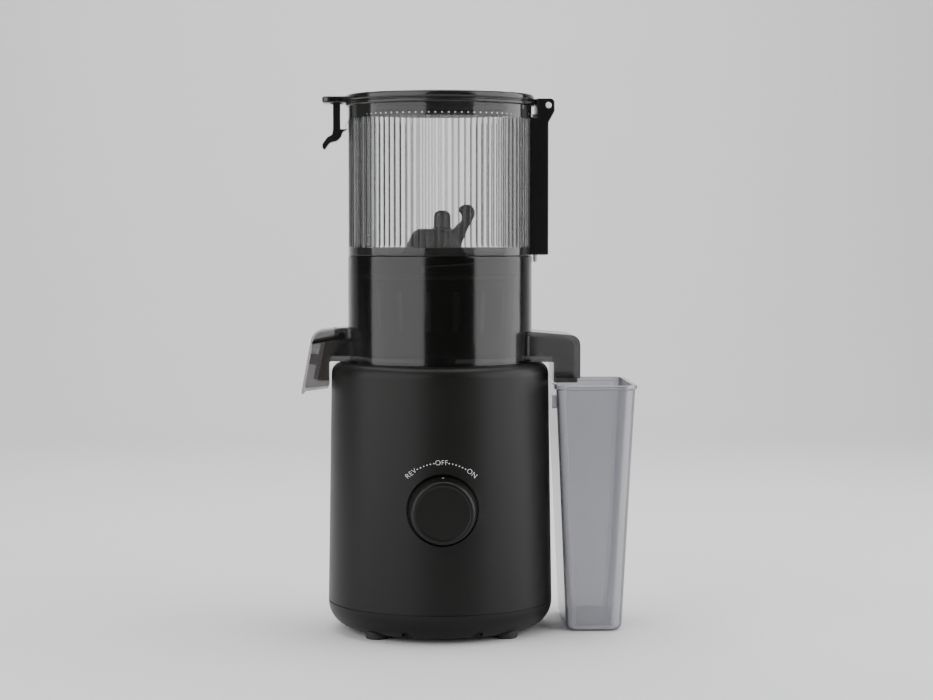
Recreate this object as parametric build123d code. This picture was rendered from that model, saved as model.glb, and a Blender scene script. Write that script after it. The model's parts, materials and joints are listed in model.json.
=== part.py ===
from build123d import *
import math
import os

# Cold press juicer. Millimetres, +Z up. Every piece is drawn about the drive axis and is then
# shifted, so that the origin is the middle of the ground rectangle that the whole machine covers.

# ---- general clearances and fasteners
running_gap = 0.08
part_gap = 0.3
fit_gap = 0.05
screw_radius = 2.0
screw_head_radius = 3.8
screw_head_height = 2.4
screw_boss_radius = 6.5

# ---- main sizes
base_height = 214.0
base_shoulder = 16.2
bowl_radius = 73.4

# ---- motor base, a shoulder wider than the bowl that it carries
base_radius = bowl_radius + base_shoulder
base_taper = 3.0
base_top_radius = base_radius - base_taper
base_edge_radius = 9.0
housing_wall = 2.8
deck_thickness = 4.5
deck_seal_height = 3.5
deck_low = base_height - deck_thickness
seam_height = 23.4
seam_groove = 0.7
foot_lift = 2.7
cover_edge_radius = seam_height - foot_lift - 0.1
foot_radius = 8.9
foot_circle = base_radius - 18.1
foot_socket_depth = 5.0
foot_socket_wall = 2.4
cover_screw_circle = base_radius - 10.1
cover_screw_angles = (0, 70, 110, 180, 250, 290)
cover_screw_seat = seam_height - 5.0
cover_boss_height = 40.0
cover_thread_depth = 18.0
spigot_height = 5.0
spigot_wall = 2.0
vent_count = 5
vent_width = 3.0
vent_pitch = 7.2
vent_back = -28.0
vent_length = 30.0

# ---- control knob and its switch
knob_height = 104.7
knob_radius = 26.5
knob_face_radius = 24.2
knob_edge_radius = 2.4
knob_rim_chamfer = 0.6
knob_wall = 2.6
knob_hub_radius = 6.5
knob_pocket_radius = knob_radius + 1.3
knob_pocket_reach = base_radius - 7.1
knob_pocket_floor = 2.8
knob_length = 24.5
knob_face_reach = knob_pocket_reach + knob_length
spindle_radius = 3.0
spindle_tip = knob_face_reach - 6.0
spindle_depth = 12.0
switch_width = 28.0
switch_depth = 22.0
switch_height = 30.0
switch_neck_radius = 4.9
switch_nut_flats = 13.0
switch_nut_height = 2.6
terminal_pitch = 8.0
terminal_width = 4.0
terminal_length = 7.0
terminal_thickness = 0.8
pointer_radius = 0.9
pointer_depth = 1.6

# ---- gear train, two stages about parallel shafts
shaft_spacing = 36.0
fast_module = 0.8
fast_pinion_teeth = 14
fast_wheel_teeth = 76
slow_module = 1.2
slow_pinion_teeth = 12
slow_wheel_teeth = 48
fast_face = 8.0
slow_face = 14.0
tooth_share = 0.43
addendum_share = 0.9
dedendum_share = 1.25
tip_share = 0.42
root_share = 1.5
wheel_rim = 6.0
wheel_hub = 5.0
output_hex = 12.0
output_journal_radius = 8.0
wheel_hex = 14.0
layshaft_hex = 8.0
layshaft_radius = 3.0
rotor_hex = 6.0
pilot_radius = 3.0
pilot_depth = 9.0

# ---- gearbox case, hung under the deck's bosses
gearbox_drop = 5.5
gearbox_height = 46.0
gearbox_top = deck_low - gearbox_drop
gearbox_low = gearbox_top - gearbox_height
gearbox_floor = 4.0
gearbox_cover_thickness = 4.0
gearbox_split = gearbox_top - gearbox_cover_thickness
gearbox_wall = 3.0
gear_clearance = 2.6
gear_step = 6.0
stage_gap = 5.0
ear_reach = 43.0
ear_radius = 7.5
ear_height = 8.0
bearing_radius = 14.0
bearing_width = 6.0
bearing_wall = 3.0
bush_radius = 6.0
bush_length = 5.0
fast_low = gearbox_low + gearbox_floor + gear_step
fast_high = fast_low + fast_face
slow_low = fast_high + stage_gap
slow_high = slow_low + slow_face

# ---- motor, under the gear case
motor_radius = 38.0
motor_length = 86.0
motor_top = gearbox_low
motor_low = motor_top - motor_length
motor_wall = 1.6
motor_cap_thickness = 2.0
motor_edge_radius = 3.0
magnet_thickness = 5.2
magnet_gap = 8.0
air_gap = 0.8
armature_length = 46.0
armature_slots = 12
armature_slot_width = 3.2
armature_slot_depth = 9.0
winding_radius = 24.0
winding_overhang = 6.0
commutator_radius = 11.0
commutator_length = 9.0
brush_width = 6.0
motor_shaft_radius = 4.0
motor_bearing_radius = 8.0
motor_bearing_width = 5.0
motor_screw_circle = 25.0
motor_slot_width = 6.0
motor_slot_near = 17.0
motor_slot_far = 28.0
fan_radius = 35.0
fan_hub_radius = 9.0
fan_height = 9.0
fan_plate = 1.5
fan_blade = 1.4
fan_blades = 9

# ---- electronics
board_length = 76.0
board_width = 54.0
board_thickness = 1.6
board_height = 16.0
board_middle = 18.0
board_inset = 5.0
standoff_radius = 4.0
board_screw_radius = 1.4
board_screw_head = 1.6
board_screw_depth = 8.0
capacitor_radius = 8.0
capacitor_length = 16.0
capacitor_place = -16.0
relay_size = 15.0
relay_place = 14.0
inlet_height = 38.0
inlet_radius = 6.5
inlet_bore_radius = 4.2
inlet_flange_radius = 9.0
inlet_flange = 2.6
inlet_depth = 12.0

# ---- juicing bowl, set in the base's top
bowl_wall = 2.4
bowl_inside = bowl_radius - bowl_wall
bowl_height = 86.0
bowl_recess = 1.5
bowl_recess_gap = 0.6
bowl_seat = base_height - bowl_recess
bowl_top = bowl_seat + bowl_height
bowl_foot = 3.5
bowl_floor = 3.0
bowl_floor_low = bowl_seat + bowl_foot
bowl_floor_top = bowl_floor_low + bowl_floor
tube_radius = 13.0
tube_bore_radius = 9.6
tube_height = 22.0
tube_top = bowl_floor_low + tube_height
seal_height = 5.0
seal_radius = 11.4
shaft_reach = 20.0
shaft_top = tube_top + shaft_reach
lock_lug_circle = bowl_radius - 13.4
lock_lug_length = 8.0
lock_lug_width = 12.0
lock_lug_height = 3.0
lock_rib = 3.0
lock_rib_length = 12.0
magnet_place = bowl_radius - 10.4
magnet_width = 6.0
magnet_length = 10.0
magnet_depth = 1.6
sensor_place = magnet_place + 2.0
sensor_width = 6.0
sensor_length = 18.0
sensor_height = 5.0
bayonet_count = 3
bayonet_start = -96.0
bayonet_lug_angle = 26.0
bayonet_track_angle = 33.0
bayonet_stop_angle = 2.0
bayonet_lug_height = 2.4
bayonet_lug_low = bowl_top - 4.6
bayonet_track_height = 1.6
bayonet_stop_height = 3.0
bayonet_reach = 1.7

# ---- juice spout on the left, clear of the base's side
spout_half_width = 14.0
spout_wall = 2.4
spout_back = base_radius - 1.4
spout_floor = base_height + 0.8
spout_low = spout_floor - 15.5
mouth_low_reach = spout_back + 9.9
mouth_top_reach = spout_back + 3.2
mouth_top = spout_floor + 15.0
spout_roof_reach = mouth_top_reach - 7.4
spout_roof = spout_floor + 27.2
spout_roof_fall = 0.8
spout_step = spout_roof - 6.0

# ---- the spout's hinged cap
cap_pivot_reach = spout_roof_reach - 5.1
cap_pivot_height = spout_roof - 7.6
cap_arm = 2.0
cap_arm_gap = 0.5
cap_roof_gap = 0.6
cap_swing_gap = 0.35
cap_knuckle_radius = 5.2
cap_pin_radius = 1.6
cap_wall = 1.8
cap_roof = spout_roof - 2.2
cap_front_top = cap_roof - 6.0
cap_front_reach = mouth_top_reach + 11.0
cap_nose_reach = mouth_low_reach + 12.3
cap_nose_low = spout_low - 10.3
cap_nose_width = 2.0
cap_lip_height = 4.6
cap_back_reach = spout_back + 0.2
cap_seal_thickness = 3.0
cap_seal_stem = 5.0

# ---- pulp outlet on the right
hood_half_width = 28.0
hood_wall = 2.4
duct_back = base_radius - 0.4
hood_reach = duct_back + 21.2
hood_roof = spout_floor + 24.2
hood_roof_front = hood_roof - 3.5
hood_corner_radius = 8.0
hood_skirt = spout_floor - 13.0
duct_low = spout_floor - 16.3

# ---- strainer, a hand's width inside the bowl
strainer_low_radius = bowl_radius - 15.8
strainer_top_radius = bowl_radius - 12.2
strainer_wall = 2.2
strainer_body_top = bowl_top - 22.5
strainer_flange = 4.2
strainer_top = strainer_body_top + strainer_flange
strainer_flange_radius = bowl_radius - 10.2
strainer_slots = 16
strainer_slot_margin = 5.0
strainer_slot_height = 31.0
strainer_slot_width = 6.5
strainer_slot_high = strainer_body_top - strainer_slot_margin
strainer_slot_low = strainer_slot_high - strainer_slot_height
strainer_lip = 6.0
screen_thickness = 0.6
port_half_width = 16.0
port_height = 13.0
port_wall = 2.0

# ---- auger
auger_low = bowl_floor_top + 5.0
auger_bottom_radius = 38.0
auger_waist_radius = 24.0
auger_waist = auger_low + 38.0
auger_neck_radius = 20.0
auger_shoulder = bowl_top + 1.5
auger_mound_radius = 31.0
auger_mound_crown = 15.0
auger_mound_height = 20.0
auger_mound_top = auger_shoulder + auger_mound_height
auger_mound_offset = -5.0
auger_column_radius = 6.8
auger_column_height = 34.7
auger_column_top = auger_shoulder + auger_column_height
auger_column_offset = 1.8
flight_radius = strainer_low_radius - 5.1
flight_thickness = 4.5
flight_count = 3
flight_turn = 150.0
auger_socket_radius = 9.2
auger_cavity_gap = 1.6
auger_cavity_width = 6.0
horn_thickness = 11.0
horn_head_radius = 7.0
horn_waist_radius = 4.6
horn_bite_radius = 6.0
horn_head_place = 21.0
horn_head_rise = 32.5
horn_waist_place = 17.5
horn_waist_rise = 21.0
horn_foot_place = 9.0
horn_foot_rise = 6.0
horn_bite_place = 11.5
horn_bite_rise = 29.0

# ---- feed hopper, standing on the bowl's rim
hopper_radius = bowl_radius - 0.4
hopper_wall = 2.6
hopper_inside = hopper_radius - hopper_wall
hopper_height = 119.2
hopper_low = bowl_top + part_gap
hopper_top = hopper_low + hopper_height
collar_depth = 14.8
collar_low = hopper_low - collar_depth
collar_radius = bowl_inside - 2.6
collar_bore_radius = bowl_radius - 10.9
flute_count = 90
flute_depth = 0.8
hopper_band = 6.2
flute_low = hopper_low + hopper_band
flute_high = hopper_top - hopper_band
flute_plain_angle = 32.0
catch_reach = hopper_radius + 2.4
catch_low = hopper_top - 19.0
catch_step = 2.2
catch_top = catch_low + 7.0
catch_half_width = 9.0

# ---- hinge post on the right, with the interlock rod
post_half_width = 18.0
post_wrap = 8.0
post_low = hopper_low + 0.4
hinge_reach = hopper_radius + 12.4
hinge_height = hopper_top - 0.6
post_reach = hinge_reach + 0.2
hinge_pin_radius = 2.4
ear_inner = 12.0
ear_left = hinge_reach - 6.6
ear_right = hinge_reach + 5.0
ear_top = hinge_height + 5.4
ear_low = hinge_height - 4.7
ear_foot = hinge_height - 13.4
ear_corner_radius = 3.5
ear_bend_radius = 6.0
post_shelf = hinge_height - 7.0
rail_half_width = 3.0
rail_depth = 3.0
rail_spread = 11.0
rail_margin = 4.0
rail_low = flute_low + rail_margin
rail_high = ear_foot - rail_margin
rod_reach = hopper_radius + 3.4
rod_radius = 1.8
rod_play = 0.15
rod_low = bowl_top - 4.9
rod_top = hinge_height - 6.2
rod_head = 3.5
spring_low = rod_top - 31.2
spring_radius = 2.7
spring_play = 0.4
spring_wire = 0.35
spring_turns = 7

# ---- lid and latch
lid_radius = hopper_radius + 2.2
lid_low = hopper_top - 1.2
lid_height = 8.8
lid_top = lid_low + lid_height
lid_plate = 2.6
lid_skirt = 1.5
lid_groove_low = lid_low + 5.2
lid_groove = 0.8
lid_groove_depth = 0.9
lid_edge_radius = 1.8
lid_dish = 1.6
lid_dish_radius = lid_radius - 6.7
lid_gasket_width = 3.2
lid_arm_half_width = ear_inner - 0.5
lid_nub = 4.0
knuckle_radius = 5.2
tab_reach = lid_radius + 18.2
tab_low = lid_low + 2.4
tab_top = lid_top - 1.1
tab_half_width = 13.0
tab_corner_radius = 4.0
tab_edge_radius = 2.0
latch_half_width = 8.0
latch_thickness = 5.7
latch_pivot_reach = hopper_radius + 9.0
latch_pivot_height = tab_low + 2.4
latch_pin_radius = 1.4
latch_knuckle_radius = 2.6
latch_tail = 16.9
latch_slot_left = latch_pivot_reach + 5.0
latch_slot_right = latch_pivot_reach - 4.8

# ---- pulp container, standing under the pulp duct
container_left = base_radius + 1.4
container_length = 63.0
container_width = 115.0
container_middle = 19.5
container_top = duct_low - 2.0
container_lean_left = 9.0
container_lean_right = 9.5
container_lean_front = 20.0
container_wall = 2.0
container_corner = 10.0
container_edge = 5.0
container_lip = 1.5
container_lip_height = 3.0
container_lug_width = 14.0
container_lug_drop = 10.0
container_floor_left = container_left + container_lean_left
container_floor_length = container_length - container_lean_left - container_lean_right
container_floor_width = container_width - container_lean_front

# ---- where the drive axis stands on the ground rectangle
left_reach = cap_nose_reach + 0.6
right_reach = container_left + container_length + container_lip
rear_reach = base_radius + inlet_flange
axis_x = (left_reach - right_reach) / 2
axis_y = (knob_face_reach - rear_reach) / 2

lift = (Align.CENTER, Align.CENTER, Align.MIN)


def rod(radius, low, high, x=0.0, y=0.0):
    """Upright round bar."""
    return Pos(x, y, low) * Cylinder(radius, high - low, align=lift)


def ring(outer, inner, low, high, x=0.0, y=0.0):
    """Upright ring."""
    return rod(outer, low, high, x, y) - rod(inner, low - 1, high + 1, x, y)


def taper(low_radius, high_radius, low, high):
    """Upright cone stump."""
    return Pos(0, 0, low) * Cone(low_radius, high_radius, high - low, align=lift)


def bar_y(radius, front, back, x, z):
    """Round bar along Y from front to back."""
    middle = (front + back) / 2
    return Pos(x, middle, z) * Rot(90, 0, 0) * Cylinder(radius, back - front)


def block(x0, x1, y0, y1, z0, z1):
    """Box between two corners."""
    middle = Pos((x0 + x1) / 2, (y0 + y1) / 2, (z0 + z1) / 2)
    return middle * Box(abs(x1 - x0), abs(y1 - y0), abs(z1 - z0))


def hex_bar(flats, low, high, x=0.0, y=0.0):
    """Upright hexagonal bar, given across its flats."""
    section = RegularPolygon(flats / 2, 6, major_radius=False)
    return Pos(x, y, low) * extrude(section, high - low)


def slab_xz(points, half_width, middle=0.0):
    """Plate with its outline in the XZ plane, equally thick on both sides of middle."""
    face = make_face(Plane.XZ * Polyline(*points, close=True))
    return Pos(0, middle, 0) * extrude(face, half_width, both=True)


def around(shape, count, start=0.0):
    """Copies of a shape spaced evenly about the drive axis."""
    return [Rot(0, 0, start + 360.0 / count * k) * shape for k in range(count)]


def total(shapes):
    """All shapes of a list as one."""
    whole = shapes[0]
    for shape in shapes[1:]:
        whole = whole + shape
    return whole


def screw(low, high, x, y):
    """Pan head screw whose shank points up from the underside of its head at low."""
    head = rod(screw_head_radius, low - screw_head_height, low, x, y)
    shank = rod(screw_radius, low, high, x, y)
    slot = rod(screw_radius * 0.6, low - screw_head_height - 1, low - screw_head_height / 2, x, y)
    return head + shank - slot


def on_circle(radius, angle):
    """Point on a circle about the drive axis."""
    return radius * math.cos(math.radians(angle)), radius * math.sin(math.radians(angle))


# ------------------------------------------------------------------ base

def base_envelope(inset):
    """Outside of the housing moved inwards by inset, with its rounded top edge."""
    radius = base_edge_radius - min(inset, housing_wall)
    body = taper(base_radius - inset, base_top_radius - inset, seam_height, base_height - inset)
    return fillet(body.edges().sort_by(Axis.Z)[-1], radius)


def base_housing():
    """Tapered shell with the deck, the knob pocket, the bosses and the bowl's recess."""
    outside = base_envelope(0)
    hollow = taper(base_radius - housing_wall, base_top_radius - housing_wall, seam_height - 1, deck_low)
    hollow = fillet(hollow.edges().sort_by(Axis.Z)[-1], base_edge_radius - housing_wall)
    shell = outside - hollow
    pocket_back = -knob_pocket_reach + knob_pocket_floor
    cup = bar_y(knob_pocket_radius + housing_wall, -base_radius, pocket_back, 0, knob_height)
    shell = shell + (cup & outside)
    shell = shell - bar_y(knob_pocket_radius, -base_radius - 5, -knob_pocket_reach, 0, knob_height)
    shell = shell - bar_y(switch_neck_radius + fit_gap, -base_radius, pocket_back + 1, 0, knob_height)
    boss_top = seam_height + cover_boss_height
    for angle in cover_screw_angles:
        x, y = on_circle(cover_screw_circle, angle)
        boss = rod(screw_boss_radius, seam_height, boss_top, x, y)
        web = block(cover_screw_circle, base_radius, -spigot_wall, spigot_wall, seam_height, boss_top)
        web = Rot(0, 0, angle) * web
        shell = shell + ((boss + web) & outside)
        shell = shell - rod(screw_radius + fit_gap, seam_height - 1, seam_height + cover_thread_depth, x, y)
    for x in (-ear_reach, ear_reach):
        for y in (0, shaft_spacing):
            shell = shell + rod(ear_radius - 1.5, gearbox_top, deck_low + 1, x, y)
            shell = shell - rod(screw_radius + fit_gap, gearbox_top - 1, gearbox_top + 6, x, y)
    shell = shell + rod(bearing_radius + bearing_wall, deck_low - deck_seal_height, deck_low + 1)
    shell = shell - rod(bearing_radius, deck_low - 5, base_height + 1)
    shell = shell - rod(bowl_radius + bowl_recess_gap, bowl_seat, base_height + 1)
    shell = shell + total(around(lock_lug(), 3, 30))
    shell = shell - inlet_hole()
    groove = ring(base_radius + 1, base_radius - seam_groove, seam_height - 1, seam_height + seam_groove)
    return shell - groove


def lock_lug():
    """Block on the deck that keeps the bowl from turning."""
    half = lock_lug_width / 2
    near = lock_lug_circle - lock_lug_length / 2
    return block(near, near + lock_lug_length, -half, half, bowl_seat - 0.5, bowl_seat + lock_lug_height)


def inlet_hole():
    """Round hole for the cable bush at the back."""
    return bar_y(inlet_radius, base_radius - inlet_depth, base_radius + 5, 0, inlet_height)


def bottom_cover():
    """Rounded pan with feet sockets, screw pillars, vents and the spigot that enters the housing."""
    outside = rod(base_radius, foot_lift, seam_height)
    outside = fillet(outside.edges().sort_by(Axis.Z)[0], cover_edge_radius)
    hollow = rod(base_radius - housing_wall, foot_lift + housing_wall, seam_height + 1)
    hollow = fillet(hollow.edges().sort_by(Axis.Z)[0], cover_edge_radius - housing_wall)
    pan = outside - hollow
    spigot_radius = base_radius - housing_wall - part_gap
    spigot_inside = spigot_radius - spigot_wall
    pan = pan + ring(spigot_radius, spigot_inside, seam_height - 3, seam_height + spigot_height)
    pan = pan + (ring(spigot_radius + 1, spigot_inside, seam_height - 3, seam_height - 0.01) & outside)
    for angle in cover_screw_angles:
        x, y = on_circle(cover_screw_circle, angle)
        pillar = rod(screw_boss_radius, foot_lift, seam_height, x, y) & outside
        pan = pan + pillar
        pan = pan - rod(screw_boss_radius + 1, seam_height, seam_height + spigot_height + 1, x, y)
        pan = pan - rod(screw_radius + 0.2, 0, seam_height + 1, x, y)
        pan = pan - rod(screw_head_radius + 0.5, 0, cover_screw_seat, x, y)
    for angle in (45, 135, 225, 315):
        x, y = on_circle(foot_circle, angle)
        socket_top = foot_lift + foot_socket_depth
        socket = rod(foot_radius + foot_socket_wall, foot_lift, socket_top + foot_socket_wall, x, y)
        pan = pan + (socket & outside)
        pan = pan - rod(foot_radius + fit_gap, 0, socket_top, x, y)
    for x in (-1, 1):
        for y in (-1, 1):
            px, py = board_corner(x, y)
            pan = pan + rod(standoff_radius, foot_lift + 1, board_height, px, py)
            depth = board_height - board_screw_depth
            pan = pan - rod(board_screw_radius + fit_gap, depth, board_height + 1, px, py)
    for k in range(vent_count):
        x = (k - (vent_count - 1) / 2) * vent_pitch
        pan = pan - block(x - vent_width / 2, x + vent_width / 2, vent_back - vent_length, vent_back,
                          foot_lift - 1, foot_lift + housing_wall + 1)
    return pan


def rubber_feet():
    """Four soft pads set in the cover's sockets."""
    pad = rod(foot_radius, 0, foot_lift + foot_socket_depth, foot_circle, 0)
    pad = chamfer(pad.edges().sort_by(Axis.Z)[0], 0.8)
    return around(pad, 4, 45)


def cover_screws():
    """Screws that hold the bottom cover."""
    tip = seam_height + cover_thread_depth - 4
    return [screw(cover_screw_seat, tip, *on_circle(cover_screw_circle, a)) for a in cover_screw_angles]


def deck_seal():
    """Lip seal round the output shaft in the deck."""
    low = deck_low - deck_seal_height + 0.5
    body = ring(bearing_radius - fit_gap, output_journal_radius + running_gap, low, bowl_seat)
    return body - ring(bearing_radius - 2, output_journal_radius + 2, low - 1, deck_low)


# ------------------------------------------------------------------ knob and switch

def control_knob():
    """Hollow turned knob with a centre hub."""
    back = -knob_pocket_reach - 0.5
    length = knob_face_reach + back
    body = Pos(0, back, knob_height) * Rot(90, 0, 0) * Cone(knob_radius, knob_face_radius, length, align=lift)
    body = fillet(body.edges().sort_by(Axis.Y)[0], knob_edge_radius)
    body = chamfer(body.edges().sort_by(Axis.Y)[-1], knob_rim_chamfer)
    room = bar_y(knob_face_radius - knob_wall, -knob_face_reach + knob_wall + 1, back + 1, 0, knob_height)
    hub_back = back - switch_nut_height - 1
    body = body - room + bar_y(knob_hub_radius, -knob_face_reach + 2, hub_back, 0, knob_height)
    body = body - bar_y(spindle_radius + fit_gap, -spindle_tip, back + 1, 0, knob_height)
    return body - pointer_bar(pointer_radius + 0.01)


def pointer_bar(radius):
    """Short upright bar in the top of the knob's rim."""
    slope = (knob_radius - knob_face_radius) / (knob_face_reach - knob_pocket_reach)
    reach = knob_pocket_reach + 10.0
    surface = knob_height + knob_radius - slope * (reach - knob_pocket_reach)
    return rod(radius, surface - pointer_depth, surface + 0.05, 0, -reach)


def knob_pointer():
    """Light dot that shows the knob's setting."""
    return pointer_bar(pointer_radius)


def switch_spindle():
    """Spindle with a flat, between the switch and the knob."""
    back = -knob_pocket_reach + knob_pocket_floor + spindle_depth
    body = bar_y(spindle_radius, -spindle_tip + 0.5, back, 0, knob_height)
    flat = block(-2 * spindle_radius, 2 * spindle_radius, -spindle_tip, -spindle_tip + spindle_depth,
                 knob_height + spindle_radius * 0.7, knob_height + 2 * spindle_radius)
    return body - flat


def rotary_switch():
    """Three position switch behind the pocket, with terminals."""
    front = -knob_pocket_reach + knob_pocket_floor
    half = switch_width / 2
    body = block(-half, half, front, front + switch_depth, knob_height - switch_height / 2,
                 knob_height + switch_height / 2)
    body = fillet(body.edges().filter_by(Axis.Y), 3)
    neck_front = -knob_pocket_reach - switch_nut_height - 0.4
    body = body + bar_y(switch_neck_radius, neck_front, front + 1, 0, knob_height)
    back = front + switch_depth
    for x in (-terminal_pitch, 0, terminal_pitch):
        body = body + block(x - terminal_width / 2, x + terminal_width / 2, back - 1, back + terminal_length,
                            knob_height - terminal_thickness / 2, knob_height + terminal_thickness / 2)
    bore_back = front + spindle_depth + 0.5
    return body - bar_y(spindle_radius + running_gap, neck_front - 1, bore_back, 0, knob_height)


def switch_nut():
    """Hexagonal nut that holds the switch's neck in the pocket."""
    section = RegularPolygon(switch_nut_flats / 2, 6, major_radius=False)
    section = section - Circle(switch_neck_radius + fit_gap)
    return Pos(0, -knob_pocket_reach, knob_height) * Rot(90, 0, 0) * extrude(section, switch_nut_height)


# ------------------------------------------------------------------ gears

def tooth_points(module, teeth, index, start):
    """Corner points of one straight sided tooth, root to tip to root."""
    pitch = module * teeth / 2
    root = pitch - dedendum_share * module
    tip = pitch + addendum_share * module
    middle = math.radians(start) + 2 * math.pi * index / teeth
    half_pitch = tooth_share * math.pi * module / 2
    points = []
    flank = [(root, half_pitch * root_share), (pitch, half_pitch), (tip, half_pitch * tip_share)]
    for radius, half in flank:
        points.append((radius, middle - half / radius))
    for radius, half in reversed(flank):
        points.append((radius, middle + half / radius))
    return [(radius * math.cos(a), radius * math.sin(a)) for radius, a in points]


def gear(module, teeth, low, face, bore_flats, start):
    """Spur gear with flat flanks and a hexagonal bore."""
    points = []
    for index in range(teeth):
        points += tooth_points(module, teeth, index, start)
    body = extrude(make_face(Polyline(*points, close=True)), face)
    return Pos(0, 0, low) * body - hex_bar(bore_flats + 2 * fit_gap, low - 1, low + face + 1)


def output_wheel():
    """Large wheel on the output shaft, in mesh with the layshaft's pinion."""
    gap = 90 + 180.0 / slow_wheel_teeth
    wheel = gear(slow_module, slow_wheel_teeth, slow_low, slow_face, wheel_hex, gap)
    web = slow_module * slow_wheel_teeth / 2 - wheel_rim
    hub = wheel_hex / 2 + wheel_hub
    prism = RegularPolygon(web, 24) - RegularPolygon(hub, 24)
    return wheel - Pos(0, 0, slow_low - 1) * extrude(prism, 4) - Pos(0, 0, slow_high - 3) * extrude(prism, 4)


def layshaft_wheel():
    """Large wheel that the motor pinion drives."""
    gap = -90 + 180.0 / fast_wheel_teeth
    wheel = gear(fast_module, fast_wheel_teeth, fast_low, fast_face, layshaft_hex, gap)
    return Pos(0, shaft_spacing, 0) * wheel


def layshaft_pinion():
    """Small pinion that drives the output wheel."""
    face = slow_high - fast_high
    return Pos(0, shaft_spacing, 0) * gear(slow_module, slow_pinion_teeth, fast_high, face, layshaft_hex, -90)


def layshaft():
    """Short steel shaft with round ends and a hexagonal middle."""
    middle = hex_bar(layshaft_hex, fast_low - 1, slow_high + 1, 0, shaft_spacing)
    low = gearbox_low + 1.5
    high = gearbox_top - 1.5
    return middle + rod(layshaft_radius, low, high, 0, shaft_spacing)


def motor_pinion():
    """Small pinion on the motor shaft."""
    return gear(fast_module, fast_pinion_teeth, fast_low, fast_face, rotor_hex, 90)


def output_shaft():
    """Hexagonal drive shaft with a round journal and a pilot bore below."""
    body = hex_bar(output_hex, bowl_floor_low + 4, shaft_top)
    foot = output_hex * 0.62 + shaft_top - bowl_floor_low
    body = body & taper(foot, output_hex * 0.52, bowl_floor_low, shaft_top)
    body = body + rod(output_journal_radius, slow_high + 0.2, bowl_floor_low + 4)
    body = body + hex_bar(wheel_hex, slow_low - 1, slow_high + 0.2)
    return body - rod(pilot_radius + running_gap, slow_low - 3, slow_low + pilot_depth)


# ------------------------------------------------------------------ gearbox case

def stadium(radius, low, high):
    """Upright solid with two round ends, about both shafts."""
    body = rod(radius, low, high) + rod(radius, low, high, 0, shaft_spacing)
    return body + block(-radius, radius, 0, shaft_spacing, low, high)


def gearbox_room():
    """Inner radius of the gear case."""
    return fast_module * fast_wheel_teeth / 2 + gear_clearance


def gearbox_ears(low, high):
    """Four ears beside the gear case."""
    ears = [rod(ear_radius, low, high, x, y) for x in (-ear_reach, ear_reach) for y in (0, shaft_spacing)]
    return total(ears)


def ear_holes(low, high):
    """Screw holes in the four ears."""
    gap = screw_radius + 0.2
    return total([rod(gap, low, high, x, y) for x in (-ear_reach, ear_reach) for y in (0, shaft_spacing)])


def gearbox_housing():
    """Deep case for the gears, closed below by the motor's mounting face."""
    room = gearbox_room()
    body = stadium(room + gearbox_wall, gearbox_low, gearbox_split)
    body = body + gearbox_ears(gearbox_split - ear_height, gearbox_split)
    body = body - stadium(room, gearbox_low + gearbox_floor, gearbox_split + 1)
    body = body + rod(bush_radius + bearing_wall, gearbox_low + 2, fast_low - 2, 0, shaft_spacing)
    body = body - rod(bush_radius, gearbox_low + 1, fast_low, 0, shaft_spacing)
    body = body - rod(motor_bearing_radius + 1, gearbox_low - 1, gearbox_low + 6)
    for x, y in motor_screw_places():
        body = body - rod(screw_radius + 0.2, gearbox_low - 1, gearbox_low + 6, x, y)
    return body - ear_holes(gearbox_split - 20, gearbox_split + 1)


def gearbox_cover():
    """Flat cover with the bearing boss and a blind seat for the layshaft."""
    body = stadium(gearbox_room() + gearbox_wall, gearbox_split, gearbox_top)
    body = body + gearbox_ears(gearbox_split, gearbox_top)
    body = body + rod(bearing_radius + bearing_wall, slow_high + 1.5, gearbox_top)
    body = body - rod(bearing_radius, slow_high + 1, gearbox_top - 1)
    body = body - rod(output_journal_radius + 2, gearbox_split, gearbox_top + 1)
    body = body + rod(bush_radius + bearing_wall, slow_high + 2.5, gearbox_top, 0, shaft_spacing)
    body = body - rod(bush_radius, slow_high + 2, gearbox_top - 1, 0, shaft_spacing)
    return body - ear_holes(gearbox_split - 1, gearbox_top + 1)


def gearbox_screws():
    """Four screws through both halves of the case into the deck's bosses."""
    seat = gearbox_split - ear_height
    return [screw(seat, gearbox_top + 5, x, y) for x in (-ear_reach, ear_reach) for y in (0, shaft_spacing)]


def output_bearing():
    """Sealed bearing of the output shaft."""
    top = gearbox_top - 1
    low = top - bearing_width
    body = ring(bearing_radius - fit_gap, output_journal_radius + running_gap, low, top)
    shield = ring(bearing_radius - 2, output_journal_radius + 2, low - 1, low + 0.6)
    return body - shield


def gear_bushes():
    """Two plain bushes of the layshaft."""
    low = gearbox_low + 1
    high = gearbox_top - 1
    bore = layshaft_radius + running_gap
    lower = ring(bush_radius - fit_gap, bore, low, low + bush_length, 0, shaft_spacing)
    upper = ring(bush_radius - fit_gap, bore, high - bush_length, high, 0, shaft_spacing)
    return [lower, upper]


# ------------------------------------------------------------------ motor

def motor_screw_places():
    """Centres of the motor's mounting screws."""
    return [on_circle(motor_screw_circle, angle) for angle in (30, 150, 210, 330)]


def motor_can():
    """Drawn steel can with air slots at its lower end."""
    body = rod(motor_radius, motor_low, motor_top - motor_cap_thickness)
    body = fillet(body.edges().sort_by(Axis.Z)[0], motor_edge_radius)
    body = body - rod(motor_radius - motor_wall, motor_low + motor_wall, motor_top)
    body = body + rod(motor_bearing_radius + 2, motor_low, motor_low + motor_bearing_width + 1)
    body = body - rod(motor_bearing_radius, motor_low - 1, motor_low + motor_bearing_width)
    body = body - rod(motor_shaft_radius + 1, motor_low, motor_low + motor_bearing_width + 5)
    half = motor_slot_width / 2
    slot = block(motor_slot_near, motor_slot_far, -half, half, motor_low - 1, motor_low + motor_wall + 1)
    return body - total(around(slot, 6))


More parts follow.
